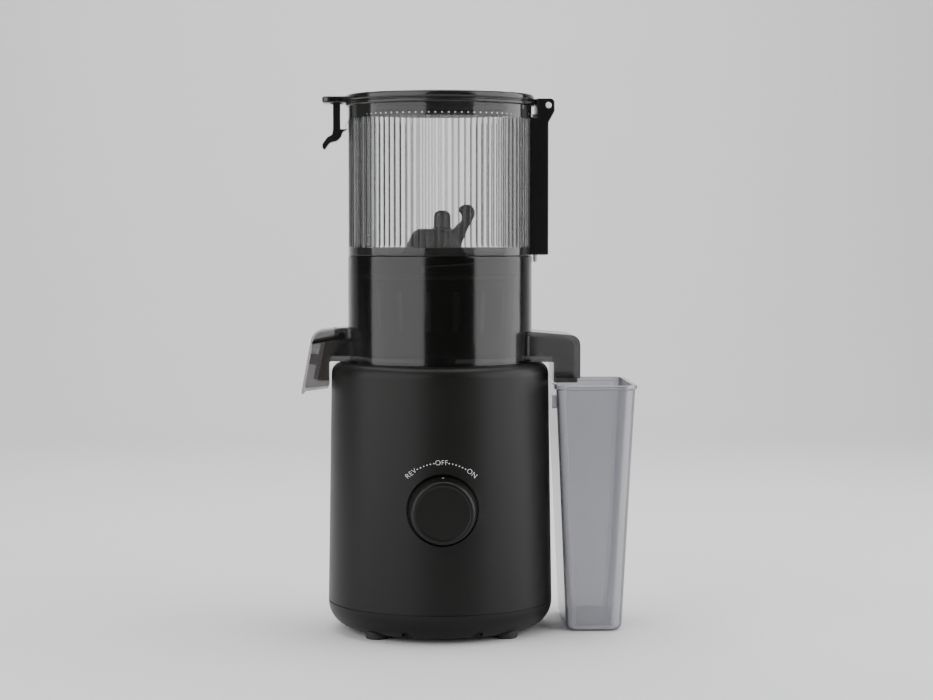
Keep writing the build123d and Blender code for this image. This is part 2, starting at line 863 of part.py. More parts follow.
def motor_end_cap():
    """Plate that closes the can against the gear case."""
    body = rod(motor_radius, motor_top - motor_cap_thickness, motor_top)
    body = body + rod(motor_bearing_radius + 2, motor_top - motor_bearing_width - 1, motor_top)
    body = body - rod(motor_bearing_radius, motor_top - motor_bearing_width, motor_top + 1)
    body = body - rod(motor_shaft_radius + 1, motor_top - 20, motor_top + 1)
    for x, y in motor_screw_places():
        body = body - rod(screw_radius + fit_gap, motor_top - 4, motor_top + 1, x, y)
    return body


def armature_low():
    """Lower end of the armature's core."""
    return commutator_low() + commutator_length + winding_overhang + 1


def motor_magnets():
    """Two curved magnets inside the can."""
    outer = motor_radius - motor_wall - fit_gap
    low = armature_low() - 2
    body = ring(outer, outer - magnet_thickness, low, low + armature_length + 4)
    side = magnet_gap / 2
    left = body & block(-motor_radius, -side, -motor_radius, motor_radius, low, motor_top)
    right = body & block(side, motor_radius, -motor_radius, motor_radius, low, motor_top)
    return [left, right]


def motor_bearings():
    """Two ball bearings of the motor shaft."""
    bore = motor_shaft_radius + running_gap
    outer = motor_bearing_radius - fit_gap
    lower = ring(outer, bore, motor_low, motor_low + motor_bearing_width)
    upper = ring(outer, bore, motor_top - motor_bearing_width, motor_top)
    return [lower, upper]


def commutator_low():
    """Lower end of the commutator."""
    return motor_low + motor_bearing_width + 1.5


def carbon_brushes():
    """Two brush holders against the commutator, carried by the can's wall."""
    low = commutator_low() + 1.5
    start = commutator_radius + 0.15
    end = motor_radius - motor_wall - fit_gap
    half = brush_width / 2
    sleeve = ring(end, start, low - 1, low + brush_width + 1)
    right = block(0, end, -half, half, low, low + brush_width) & sleeve
    left = block(-end, 0, -half, half, low, low + brush_width) & sleeve
    return [right, left]


def armature():
    """Slotted iron core."""
    radius = motor_radius - motor_wall - magnet_thickness - air_gap
    low = armature_low()
    body = ring(radius, motor_shaft_radius + fit_gap, low, low + armature_length)
    half = armature_slot_width / 2
    slot = block(radius - armature_slot_depth, radius + 1, -half, half, low - 1, low + armature_length + 1)
    return body - total(around(slot, armature_slots))


def armature_windings():
    """Copper end turns above and below the core."""
    low = armature_low()
    turns = []
    for level in (low + armature_length, low - winding_overhang):
        turn = ring(winding_radius, motor_shaft_radius + 3, level, level + winding_overhang)
        turns.append(fillet(turn.edges().filter_by(GeomType.CIRCLE).group_by(SortBy.RADIUS)[-1], 2))
    return turns


def commutator():
    """Copper drum that the brushes touch."""
    low = commutator_low()
    body = ring(commutator_radius, motor_shaft_radius + fit_gap, low, low + commutator_length)
    high = low + commutator_length
    slot = block(commutator_radius - 1, commutator_radius + 1, -0.3, 0.3, low - 1, high + 1)
    return body - total(around(slot, armature_slots))


def motor_shaft():
    """Steel shaft from the fan to the pilot bore of the output shaft."""
    body = rod(motor_shaft_radius, motor_low - fan_height - 3, motor_top + 3)
    body = body + hex_bar(rotor_hex, motor_top + 3, fast_high + 0.5)
    return body + rod(pilot_radius, fast_high, slow_low + pilot_depth - 1)


def cooling_fan():
    """Bladed disc below the motor."""
    low = motor_low - fan_height - 2
    body = rod(fan_hub_radius, low, low + fan_height) + rod(fan_radius, low, low + fan_plate)
    half = fan_blade / 2
    blade = block(fan_hub_radius - 1, fan_radius - 1, -half, half, low + fan_plate / 2, low + fan_height)
    body = body + total(around(blade, fan_blades))
    return body - rod(motor_shaft_radius + fit_gap, low - 1, low + fan_height + 1)


def motor_screws():
    """Four screws from the gear case down into the motor's end cap."""
    top = gearbox_low + gearbox_floor
    screws = []
    for x, y in motor_screw_places():
        head = rod(screw_head_radius, top, top + screw_head_height, x, y)
        screws.append(head + rod(screw_radius, motor_top - 5, top, x, y))
    return screws


# ------------------------------------------------------------------ electronics

def board_corner(x, y):
    """Centre of a board screw, by the sign of its side."""
    return x * (board_length / 2 - board_inset), board_middle + y * (board_width / 2 - board_inset)


def circuit_board():
    """Speed and reverse control board on four standoffs."""
    half_x = board_length / 2
    half_y = board_width / 2
    front = board_middle - half_y
    body = block(-half_x, half_x, front, front + board_width, board_height, board_height + board_thickness)
    for x in (-1, 1):
        for y in (-1, 1):
            px, py = board_corner(x, y)
            body = body - rod(board_screw_radius + 0.2, board_height - 1, board_height + 4, px, py)
    return body


def board_screws():
    """Four small screws of the board."""
    top = board_height + board_thickness
    screws = []
    for x in (-1, 1):
        for y in (-1, 1):
            px, py = board_corner(x, y)
            head = rod(board_screw_radius * 2, top, top + board_screw_head, px, py)
            screws.append(head + rod(board_screw_radius, top - board_screw_depth, top, px, py))
    return screws


def capacitor():
    """Smoothing capacitor standing on the board."""
    low = board_height + board_thickness
    high = low + capacitor_length
    body = rod(capacitor_radius, low, high, capacitor_place, board_middle)
    body = fillet(body.edges().sort_by(Axis.Z)[-1], 1)
    return body - rod(capacitor_radius - 2, high - 0.5, high + 1, capacitor_place, board_middle)


def relay():
    """Reversing relay on the board."""
    low = board_height + board_thickness
    half = relay_size / 2
    body = block(relay_place - half, relay_place + half, board_middle - half, board_middle + half, low,
                 low + relay_size)
    return fillet(body.edges().filter_by(Axis.Z), 1)


def cable_inlet_bush():
    """Flanged rubber bush in the back of the housing, with a clear bore for the cable."""
    front = base_radius - inlet_depth
    seat = base_radius + fit_gap
    bush = bar_y(inlet_radius - fit_gap, front, seat + 0.4, 0, inlet_height)
    bush = bush + bar_y(inlet_flange_radius, seat, rear_reach, 0, inlet_height)
    return bush - bar_y(inlet_bore_radius, front - 1, rear_reach + 1, 0, inlet_height)


def reed_switch():
    """Sealed sensor under the deck that feels the bowl's magnet."""
    near = sensor_place - sensor_width / 2
    half = sensor_length / 2
    return block(near, near + sensor_width, -half, half, deck_low - sensor_height, deck_low)


# ------------------------------------------------------------------ bowl

def spout_outline():
    """Side outline of the juice spout."""
    wall = -bowl_inside + 1
    return [(wall, spout_floor), (-spout_back, spout_floor), (-spout_back, spout_low),
            (-mouth_low_reach + 0.4, spout_low), (-mouth_top_reach, mouth_top),
            (-spout_roof_reach, spout_step), swing_corner(1.0), swing_corner(0.5), (wall, spout_roof)]


def swing_corner(share):
    """Point of the spout's roof that the cap's roof swings past, at a share of the pivot's distance."""
    edge_low = spout_roof - spout_roof_fall - cap_wall - cap_pivot_height
    reach = spout_roof_reach - cap_pivot_reach
    swing = math.hypot(reach + cap_roof_gap, edge_low) - cap_swing_gap
    return -cap_pivot_reach - share * reach, cap_pivot_height + math.sqrt(swing ** 2 - (share * reach) ** 2)


def spout_channel():
    """Side outline of the juice way through the spout, past its mouth."""
    wall = spout_wall
    low = spout_low + wall
    high = mouth_top - wall
    back = spout_back + wall
    floor = bowl_floor_top
    return [(-bowl_inside + 8, floor), (-back, floor), (-back, low), (-mouth_low_reach - 8, low),
            (-mouth_low_reach - 8, high), (-mouth_top_reach + wall, high),
            (-spout_roof_reach, spout_step - wall - 1), (-bowl_inside + 8, spout_step - wall - 1)]


def hood_outline():
    """Side outline of the pulp hood and its duct."""
    start = bowl_inside - 1
    inner = hood_reach - hood_wall
    return [(start, spout_floor), (duct_back, spout_floor), (duct_back, duct_low), (inner, duct_low),
            (inner, hood_skirt), (hood_reach, hood_skirt), (hood_reach, hood_roof_front), (start, hood_roof)]


def hood_channel():
    """Side outline of the pulp's way down through the duct."""
    wall = hood_wall
    floor = bowl_floor_top
    right = hood_reach - 2 * wall
    left = bowl_inside - 8
    return [(left, floor), (duct_back + wall, floor), (duct_back + wall, duct_low - 5), (right, duct_low - 5),
            (right, hood_roof_front - wall - 1), (left, hood_roof - wall - 1)]


def pulp_hood():
    """Outside of the pulp hood, with its rounded upper corner."""
    body = slab_xz(hood_outline(), hood_half_width)
    corner = body.edges().filter_by(Axis.Y).filter_by_position(Axis.X, hood_reach - 1, hood_reach + 1)
    body = fillet(corner.sort_by(Axis.Z)[-1], hood_corner_radius)
    return body


def hood_bore():
    """Room inside the pulp hood."""
    body = slab_xz(hood_channel(), hood_half_width - hood_wall)
    corner = body.edges().filter_by(Axis.Y).sort_by(Axis.X)[-2:]
    return fillet(corner.sort_by(Axis.Z)[-1], hood_corner_radius - hood_wall)


def juicing_bowl():
    """Clear bowl with its centre tube, juice spout, pulp hood and bayonet lugs."""
    body = rod(bowl_radius, bowl_seat, bowl_top)
    body = body + slab_xz(spout_outline(), spout_half_width) + pulp_hood()
    body = body - rod(bowl_inside, bowl_floor_top, bowl_top + 1)
    body = body - rod(bowl_inside - 1, bowl_seat - 1, bowl_floor_low)
    body = body + rod(tube_radius, bowl_floor_low, tube_top)
    body = body - rod(tube_bore_radius, bowl_floor_low - 1, tube_top + 1)
    body = body - rod(seal_radius + fit_gap, tube_top - seal_height, tube_top + 1)
    body = body - slab_xz(spout_channel(), spout_half_width - spout_wall) - hood_bore()
    middle = lock_lug_width / 2 + 0.5 + lock_rib / 2
    for side in (-middle, middle):
        near = lock_lug_circle - lock_rib_length / 2
        rib = block(near, near + lock_rib_length, side - lock_rib / 2, side + lock_rib / 2,
                    bowl_seat + 0.5, bowl_floor_low + 0.5)
        body = body + total(around(rib, 3, 30))
    body = body + total([bayonet_lug(k) for k in range(bayonet_count)])
    for side in (-1, 1):
        pin = bar_y(cap_pin_radius, -0.5, 0.5, -cap_pivot_reach, cap_pivot_height)
        body = body - Pos(0, side * (spout_half_width - 0.4), 0) * pin
    return body - magnet_pocket()


def sector(outer, inner, low, high, start, sweep):
    """Part of an upright ring from a start angle through a sweep."""
    far = outer * 1.6
    steps = 6
    points = [(0.0, 0.0)]
    for k in range(steps + 1):
        points.append(on_circle(far, start + sweep * k / steps))
    wedge = extrude(make_face(Polyline(*points, close=True)), high - low)
    return ring(outer, inner, low, high) & Pos(0, 0, low) * wedge


def bayonet_lug(index):
    """Inward lug under the bowl's rim."""
    start = bayonet_start + 360.0 / bayonet_count * index
    high = bayonet_lug_low + bayonet_lug_height
    inner = bowl_inside - bayonet_reach
    return sector(bowl_inside + 1, inner, bayonet_lug_low, high, start, bayonet_lug_angle)


def magnet_block(inset, low):
    """Block in the magnet's place, smaller all round by inset, from a lower level up into the floor."""
    near = magnet_place - magnet_width / 2 + inset
    far = near + magnet_width - 2 * inset
    half = magnet_length / 2 - inset
    return block(near, far, -half, half, low, bowl_floor_low + magnet_depth - inset)


def magnet_pocket():
    """Pocket for the magnet under the bowl's floor."""
    return magnet_block(0, bowl_floor_low - 1)


def bowl_magnet():
    """Magnet that tells the base that the bowl is in place."""
    return magnet_block(fit_gap, bowl_floor_low)


def bowl_shaft_seal():
    """Soft ring at the top of the centre tube."""
    return ring(seal_radius, auger_socket_radius + running_gap, tube_top - seal_height, tube_top)


def cap_pins():
    """Two short pins that stand out of the spout's sides and carry the cap."""
    inner = spout_half_width - 0.9
    outer = spout_half_width + cap_arm_gap + cap_arm + 0.4
    pins = []
    for side in (-1, 1):
        ends = sorted((side * inner, side * outer))
        pins.append(bar_y(cap_pin_radius - 0.02, ends[0], ends[1], -cap_pivot_reach, cap_pivot_height))
    return pins


# ------------------------------------------------------------------ strainer

def strainer_cone(inset, low, high):
    """Cone stump along the strainer's wall, moved inwards by inset."""
    base = bowl_floor_top + part_gap
    slope = (strainer_top_radius - strainer_low_radius) / (strainer_body_top - base)
    low_radius = strainer_low_radius - inset + slope * (low - base)
    high_radius = strainer_low_radius - inset + slope * (high - base)
    return taper(low_radius, high_radius, low, high)


def strainer_frame():
    """Slotted basket frame with its top flange and the pulp port."""
    low = bowl_floor_top
    body = strainer_cone(0, low, strainer_body_top)
    body = body + rod(strainer_flange_radius, strainer_body_top - 3, strainer_top)
    near = strainer_low_radius - 2 * strainer_lip
    port_top = low + port_height + 2 * port_wall
    port = block(near, bowl_inside, -port_half_width, port_half_width, low + 0.5, port_top)
    body = body + (port & rod(bowl_inside - part_gap - 0.5, low, strainer_top))
    body = body - strainer_cone(strainer_wall, low + 2.2, strainer_body_top)
    body = body - rod(strainer_top_radius - strainer_wall, strainer_body_top - 0.5, strainer_top + 1)
    body = body - rod(strainer_low_radius - strainer_lip, low - 1, low + 4)
    half = strainer_slot_width / 2
    slot = block(near, bowl_radius, -half, half, strainer_slot_low, strainer_slot_high)
    body = body - total(around(slot, strainer_slots, 180.0 / strainer_slots))
    half = port_half_width - port_wall
    floor = low + strainer_wall + 0.2
    return body - block(near, bowl_radius, -half, half, floor, low + port_height + port_wall)


def strainer_screen():
    """Fine steel screen inside the frame, open at the pulp port."""
    low = strainer_slot_low - 3
    high = strainer_slot_high + 2.5
    inset = strainer_wall + 3 * fit_gap
    return strainer_cone(inset, low, high) - strainer_cone(inset + screen_thickness, low, high)


# ------------------------------------------------------------------ auger

def flight_section():
    """Plan of the flights, from the core to their tips."""
    fin = Pos(flight_radius / 2, 0) * Rectangle(flight_radius, flight_thickness)
    fins = fin
    for k in range(1, flight_count):
        fins = fins + Rot(0, 0, 360.0 / flight_count * k) * fin
    return (fins + Circle(auger_neck_radius - 1)) & Circle(flight_radius)


def flights():
    """Helical flights as a twisted prism."""
    height = auger_shoulder - auger_low - 4
    section = flight_section().faces()[0]
    twisted = Solid.extrude_linear_with_rotation(section, (0, 0, 0), (0, 0, height), flight_turn)
    return Pos(0, 0, auger_low) * twisted


def horn():
    """Hooked blade on top of the auger that draws fruit in."""
    head = Pos(horn_head_place, auger_shoulder + horn_head_rise) * Circle(horn_head_radius)
    waist = Pos(horn_waist_place, auger_shoulder + horn_waist_rise) * Circle(horn_waist_radius)
    foot = Pos(horn_foot_place, auger_shoulder + horn_foot_rise) * Circle(horn_head_radius)
    upper = make_hull((head + waist).edges())
    lower = make_hull((waist + foot).edges())
    bite = Pos(horn_bite_place, auger_shoulder + horn_bite_rise) * Circle(horn_bite_radius)
    outline = upper + lower - bite
    return extrude(Plane.XZ * outline, horn_thickness / 2, both=True)


def auger():
    """Feed screw: core, flights, mound, column and horn, hollow below for the bowl's tube."""
    core = taper(auger_bottom_radius, auger_waist_radius, auger_low, auger_waist)
    core = core + taper(auger_waist_radius, auger_neck_radius, auger_waist, auger_shoulder)
    mound = taper(auger_mound_radius, auger_mound_crown, auger_shoulder - 10, auger_mound_top)
    mound = Pos(auger_mound_offset, 0, 0) * mound
    mound = fillet(mound.edges().sort_by(Axis.Z)[-1], 7)
    column = rod(auger_column_radius, auger_shoulder, auger_column_top, auger_column_offset, 0)
    column = fillet(column.edges().sort_by(Axis.Z)[-1], 5)
    body = flights() + core + mound + column + horn()
    inner = tube_radius + auger_cavity_gap
    cavity = rod(inner + auger_cavity_width, auger_low - 1, tube_top + 4)
    body = body - cavity
    return body - rod(auger_socket_radius + fit_gap, auger_low - 1, shaft_top + 4)


def auger_drive_socket():
    """Steel sleeve with a hexagonal bore, the auger's journal below."""
    body = rod(auger_socket_radius, auger_low + 1, shaft_top + 4)
    return body - hex_bar(output_hex + 0.6, auger_low, shaft_top + 1.5)


# ------------------------------------------------------------------ hopper

def fluted_section():
    """Plan of the hopper's outside, with convex flutes and plain fields at the post and the catch."""
    points = []
    steps = 4
    for k in range(flute_count):
        for step in range(steps):
            angle = 360.0 / flute_count * (k + step / steps)
            side = abs((angle + 180) % 360 - 180)
            plain = side < flute_plain_angle / 2 or side > 180 - flute_plain_angle / 2
            depth = 0.0 if plain else flute_depth * (1 - math.sin(math.pi * step / steps))
            points.append(on_circle(hopper_radius - depth, angle))
    return make_face(Polyline(*points, close=True))


def hopper_catch():
    """Wedge that the lid's latch hooks under."""
    wall = hopper_radius - 1.5
    step = catch_low + catch_step
    points = [(-wall, catch_low), (-catch_reach, catch_low), (-catch_reach, step), (-wall, catch_top)]
    return slab_xz(points, catch_half_width)


def hopper():
    """Fluted feed tube with its collar, bayonet tracks, catch and rails for the post."""
    body = rod(hopper_radius, hopper_low, hopper_top)
    band = rod(hopper_radius + 5, flute_low, flute_high)
    body = body - (band - Pos(0, 0, flute_low) * extrude(fluted_section(), flute_high - flute_low))
    body = body + rod(collar_radius, collar_low, hopper_low + 1)
    body = body + hopper_catch()
    for side in (-rail_spread, rail_spread):
        body = body + block(hopper_radius - 1.5, hopper_radius + rail_depth, side - rail_half_width,
                            side + rail_half_width, rail_low, rail_high)
    body = body + total([bayonet_track(k) for k in range(bayonet_count)])
    funnel = taper(collar_bore_radius, hopper_inside, hopper_low - 6, flute_low)
    body = body - funnel - rod(hopper_inside, flute_low, hopper_top + 1)
    return body - rod(collar_bore_radius, collar_low - 1, hopper_low - 5)


def bayonet_track(index):
    """Ridge on the collar that runs under a lug of the bowl, with its end stop."""
    outer = bowl_inside - part_gap
    high = bayonet_lug_low - part_gap
    start = bayonet_start + 360.0 / bayonet_count * index - (bayonet_track_angle - bayonet_lug_angle)
    ridge = sector(outer, collar_radius - 1, high - bayonet_track_height, high, start, bayonet_track_angle)
    stop = sector(outer, collar_radius - 1, high - bayonet_track_height, high + bayonet_stop_height, start,
                  bayonet_stop_angle)
    return ridge + stop


def hopper_gasket():
    """Soft ring under the collar, just above the strainer's flange."""
    low = strainer_top + part_gap
    return ring(collar_radius + 1.2, collar_bore_radius + 0.5, low, collar_low)


def post_outline():
    """Side outline of the hinge post with its ears."""
    inner = hopper_radius - post_wrap
    return [(inner, post_low), (post_reach, post_low), (post_reach, ear_foot), (ear_right, ear_low),
            (ear_right, ear_top), (ear_left, ear_top), (ear_left, ear_foot + 4), (inner, ear_foot + 4)]


def hinge_post():
    """Upright that carries the lid's hinge and guides the interlock rod."""
    body = slab_xz(post_outline(), post_half_width)
    tip = body.edges().filter_by(Axis.Y).filter_by_position(Axis.Z, ear_top - 1, ear_top + 1)
    body = fillet(tip, ear_corner_radius)
    foot = body.edges().filter_by(Axis.Y).filter_by_position(Axis.X, post_reach - 0.1, post_reach + 0.1)
    body = fillet(foot.sort_by(Axis.Z)[-1], ear_bend_radius)
    body = body - rod(hopper_radius + fit_gap, post_low - 1, ear_top + 1)
    gap = block(hopper_radius - post_wrap - 1, ear_right + 2, -ear_inner, ear_inner, post_shelf, ear_top + 2)
    body = body - gap
    for side in (-rail_spread, rail_spread):
        half = rail_half_width + fit_gap
        body = body - block(hopper_radius - post_wrap - 1, hopper_radius + rail_depth + fit_gap, side - half, side + half,
                            rail_low - fit_gap, rail_high + fit_gap)
    body = body - rod(rod_radius + rod_play, post_low - 1, ear_top, rod_reach, 0)
    body = body - rod(spring_radius + spring_wire + spring_play, spring_low, ear_top, rod_reach, 0)
    end = post_half_width + 1
    return body - bar_y(hinge_pin_radius + 0.02, -end, end, hinge_reach, hinge_height)


def lid_hinge_pin():
    """Steel pin of the lid's hinge, pressed into the post's ears."""
    body = bar_y(hinge_pin_radius, -post_half_width - 0.4, post_half_width + 0.4, hinge_reach, hinge_height)
    return chamfer(body.edges().filter_by(GeomType.CIRCLE), 0.4)


def interlock_rod():
    """Rod that the closed lid pushes down so that its tip locks the hopper to the bowl."""
    body = rod(rod_radius, rod_low, rod_top, rod_reach, 0)
    return body + rod(spring_radius, rod_top - rod_head, rod_top, rod_reach, 0)


def interlock_spring():
    """Coil spring that lifts the rod when the lid opens."""
    radius = spring_radius - spring_wire
    high = rod_top - rod_head - spring_wire - fit_gap
    low = spring_low + spring_wire + fit_gap
    path = Edge.make_helix((high - low) / spring_turns, high - low, radius, (rod_reach, 0, low))
    section = Plane(path @ 0, z_dir=path % 0) * Circle(spring_wire)
    return sweep(section, path, is_frenet=True)


# ------------------------------------------------------------------ lid and latch

def lid():
    """Dished lid with its skirt, hinge arm and latch tab."""
    body = rod(lid_radius, lid_low, lid_top)
    body = fillet(body.edges().sort_by(Axis.Z)[-1], lid_edge_radius)
    groove_high = lid_groove_low + lid_groove
    body = body - ring(lid_radius + 1, lid_radius - lid_groove_depth, lid_groove_low, groove_high)
    body = body - rod(lid_dish_radius, lid_top - lid_dish, lid_top + 1)
    arm = block(lid_radius - 4, hinge_reach, -lid_arm_half_width, lid_arm_half_width, hinge_height + 0.6,
                hinge_height + knuckle_radius)
    knuckle = bar_y(knuckle_radius, -lid_arm_half_width, lid_arm_half_width, hinge_reach, hinge_height)
    nub = block(rod_reach - 0.4, rod_reach + 3.2, -lid_nub, lid_nub, rod_top + 0.2, hinge_height + 2)
    body = body + arm + knuckle
    body = body - bar_y(hinge_pin_radius + running_gap, -ear_inner, ear_inner, hinge_reach, hinge_height)
    tab = block(-tab_reach, -lid_radius + 2, -tab_half_width, tab_half_width, tab_low, tab_top)
    tab = fillet(tab.edges().filter_by(Axis.Z).sort_by(Axis.X)[:2], tab_corner_radius)
    tab = fillet(tab.edges().filter_by(Axis.Y).sort_by(Axis.X)[:2], tab_edge_radius)
    tab = tab - block(-latch_slot_left, -latch_slot_right, -latch_half_width - 0.4, latch_half_width + 0.4,
                      tab_low - 1, tab_top + 1)
    body = body + tab - rod(lid_radius - lid_skirt, lid_low - 1, lid_under()) + nub
    pin = bar_y(latch_pin_radius + 0.02, -tab_half_width - 1, tab_half_width + 1, -latch_pivot_reach,
                latch_pivot_height)
    return body - pin


def lid_under():
    """Height of the lid plate's underside."""
    return lid_top - lid_dish - lid_plate


def lid_gasket():
    """Soft ring inside the lid, just above the hopper's rim."""
    outer = lid_radius - lid_skirt - fit_gap
    low = hopper_top + part_gap
    return ring(outer, outer - lid_gasket_width, low, lid_under())


def latch_pin():
    """Pin of the latch in the lid's tab."""
    end = tab_half_width - 0.3
    return bar_y(latch_pin_radius, -end, end, -latch_pivot_reach, latch_pivot_height)


def latch_outline():
    """Side outline of the latch: bar, hook and finger tail."""
    left = -latch_pivot_reach - latch_thickness / 2
    right = left + latch_thickness
    top = latch_pivot_height - 1.0
    hook_top = catch_low - part_gap
    tip = -hopper_radius - 1.0
    tail = [(-3.5, -4.6), (-7.6, -6.7), (-11.4, -12.3), (-11.2, -15.2), (-9.8, -latch_tail), (-5.4, -11.0),
            (0.5, -9.6), (3.5, -6.3), (4.8, -2.4)]
    tail = [(x - latch_pivot_reach, catch_low + z) for x, z in tail]
    hook = [(tip, hook_top - 0.2), (tip, hook_top), (right, hook_top)]
    return [(left, top), (left, hook_top)] + tail + hook + [(right, top)]


def lid_latch():
    """Hooked latch that swings on the lid's tab."""
    body = slab_xz(latch_outline(), latch_half_width)
    body = body + bar_y(latch_knuckle_radius, -latch_half_width, latch_half_width, -latch_pivot_reach,
                        latch_pivot_height)
    bore = bar_y(latch_pin_radius + running_gap, -tab_half_width, tab_half_width, -latch_pivot_reach,
                 latch_pivot_height)
    return body - bore


# ------------------------------------------------------------------ spout cap

def cap_outline():
    """Side outline of the cap from its pivot to its nose."""
    front = -cap_front_reach
    nose = -cap_nose_reach
    lip = cap_nose_low + cap_lip_height
    pivot = -cap_pivot_reach
    return [(pivot, cap_pivot_height + cap_knuckle_radius), (-spout_roof_reach - cap_roof_gap, cap_edge()),
            (front + 7.0, cap_roof), (front + 2.8, cap_roof - 2.2), (front, cap_front_top),
            (nose + 0.4, lip - 1.0), (nose, cap_nose_low), (nose + cap_nose_width, cap_nose_low),
            (nose + 3.2, lip - 2.4), (-cap_back_reach, lip), (-cap_back_reach, spout_floor + 1.2),
            (pivot, cap_pivot_height - cap_knuckle_radius)]


def cap_edge():
    """Height of the cap's roof where it meets the spout's step."""
    return spout_roof - spout_roof_fall


def cap_hollow():
    """Side outline of the room inside the cap."""
    wall = cap_wall
    front = -cap_front_reach
    back = -cap_pivot_reach + 2 * cap_knuckle_radius
    edge = -spout_roof_reach - cap_roof_gap
    high = spout_roof + cap_knuckle_radius
    low = cap_nose_low - cap_lip_height
    lip = cap_nose_low + cap_lip_height
    shelf = -mouth_low_reach - 0.4
    return [(back, high), (edge, high), (edge, cap_edge() - wall), (front + 7.5, cap_roof - wall),
            (front + 4.0, cap_roof - 2 * wall), (front + wall, cap_front_top - 0.5),
            (-cap_nose_reach + 2.5, lip), (shelf, lip + 0.8), (shelf, low), (back, low)]


def spout_cap():
    """Swinging cap with two cheeks, a front wall and a lower lip."""
    outer = spout_half_width + cap_arm_gap + cap_arm
    inner = spout_half_width + cap_arm_gap
    body = slab_xz(cap_outline(), outer) - slab_xz(cap_hollow(), inner)
    ends = []
    for side in (-1, 1):
        span = sorted((side * inner, side * outer))
        ends.append(bar_y(cap_knuckle_radius, span[0], span[1], -cap_pivot_reach, cap_pivot_height))
    body = body + ends[0] + ends[1]
    end = outer + 1
    return body - bar_y(cap_pin_radius + running_gap, -end, end, -cap_pivot_reach, cap_pivot_height)


def spout_cap_seal():
    """Soft pad that closes the mouth, on a stem from the cap's front wall."""
    run = mouth_low_reach - mouth_top_reach
    rise = mouth_top - spout_low + 1.9
    length = math.hypot(run, rise)
    nx, nz = -rise / length, -run / length
    gap = part_gap + 0.1
    low = (-mouth_low_reach + 0.4 + 0.2, spout_low + 1)
    high = (-mouth_top_reach - 0.3, mouth_top - 1)

    def off(point, distance):
        return (point[0] + nx * distance, point[1] - nz * distance)

    pad = slab_xz([off(low, gap), off(high, gap), off(high, gap + cap_seal_thickness),
                   off(low, gap + cap_seal_thickness)], spout_half_width - 0.5)
    middle = ((low[0] + high[0]) / 2, (low[1] + high[1]) / 2)
    reach = cap_front_reach - mouth_top_reach
    lower = (middle[0] - 0.9, middle[1] - 4)
    upper = (middle[0] + 0.9, middle[1] + 4)
    near = gap + 1
    stem = slab_xz([off(lower, near), off(upper, near), off(upper, reach), off(lower, reach)], cap_seal_stem)
    front = slab_xz(cap_hollow(), spout_half_width)
    return pad + (stem & front)


# ------------------------------------------------------------------ pulp container

def container_shape(inset, low, high_extra):
    """Tapered box with rounded corners, moved inwards by inset."""
    radius = container_corner - inset * 0.6
    bottom_x = container_floor_left + container_floor_length / 2
    top_x = container_left + container_length / 2
    bottom = Pos(bottom_x, container_middle, low) * RectangleRounded(
        container_floor_length - 2 * inset, container_floor_width - 2 * inset, radius)
    top = Pos(top_x, container_middle, container_top + high_extra) * RectangleRounded(
        container_length - 2 * inset, container_width - 2 * inset, radius)
    return loft([bottom.faces()[0], top.faces()[0]])


def pulp_container():
    """Clear tapered box with a rolled rim and a lug towards the base."""
    outside = container_shape(0, 0, 0)
    outside = fillet(outside.faces().sort_by(Axis.Z)[0].edges(), container_edge)
    inside = container_shape(container_wall, container_wall, 0.01)
    inside = fillet(inside.faces().sort_by(Axis.Z)[0].edges(), container_edge - container_wall)
    top_x = container_left + container_length / 2
    lip = Pos(top_x, container_middle, container_top - container_lip_height) * extrude(
        RectangleRounded(container_length + 2 * container_lip, container_width + 2 * container_lip,
                         container_corner + container_lip), container_lip_height)
    half = container_lug_width / 2
    lug_top = container_top - container_lug_drop
    lug = block(container_left - 1.6, container_left + 3, -half, half, lug_top - container_lug_drop, lug_top)
    return outside + lip + lug - inside


# ------------------------------------------------------------------ whole machine

PIECES = {
    "base_housing": base_housing,
    "bottom_cover": bottom_cover,
    "rubber_feet": rubber_feet,
    "cover_screws": cover_screws,
    "deck_seal": deck_seal,
    "control_knob": control_knob,
    "knob_pointer": knob_pointer,
    "switch_spindle": switch_spindle,
    "rotary_switch": rotary_switch,
    "switch_nut": switch_nut,
    "output_wheel": output_wheel,
    "output_shaft": output_shaft,
    "layshaft_wheel": layshaft_wheel,
    "layshaft_pinion": layshaft_pinion,
    "layshaft": layshaft,
    "motor_pinion": motor_pinion,
    "gearbox_housing": gearbox_housing,
    "gearbox_cover": gearbox_cover,
    "gearbox_screws": gearbox_screws,
    "output_bearing": output_bearing,
    "gear_bushes": gear_bushes,
    "motor_can": motor_can,
    "motor_end_cap": motor_end_cap,
    "motor_magnets": motor_magnets,
    "motor_bearings": motor_bearings,
    "carbon_brushes": carbon_brushes,
    "armature": armature,
    "armature_windings": armature_windings,
    "commutator": commutator,
    "motor_shaft": motor_shaft,
    "cooling_fan": cooling_fan,
    "motor_screws": motor_screws,
    "circuit_board": circuit_board,
    "board_screws": board_screws,
    "capacitor": capacitor,
    "relay": relay,
    "cable_inlet_bush": cable_inlet_bush,
    "reed_switch": reed_switch,
    "juicing_bowl": juicing_bowl,
    "bowl_magnet": bowl_magnet,
    "bowl_shaft_seal": bowl_shaft_seal,
    "cap_pins": cap_pins,
    "strainer_frame": strainer_frame,
    "strainer_screen": strainer_screen,
    "auger": auger,
    "auger_drive_socket": auger_drive_socket,
    "hopper": hopper,
    "hopper_gasket": hopper_gasket,
    "hinge_post": hinge_post,
    "lid_hinge_pin": lid_hinge_pin,
    "interlock_rod": interlock_rod,
    "interlock_spring": interlock_spring,
    "lid": lid,
    "lid_gasket": lid_gasket,
    "latch_pin": latch_pin,
    "lid_latch": lid_latch,
    "spout_cap": spout_cap,
    "spout_cap_seal": spout_cap_seal,
    "pulp_container": pulp_container,
}


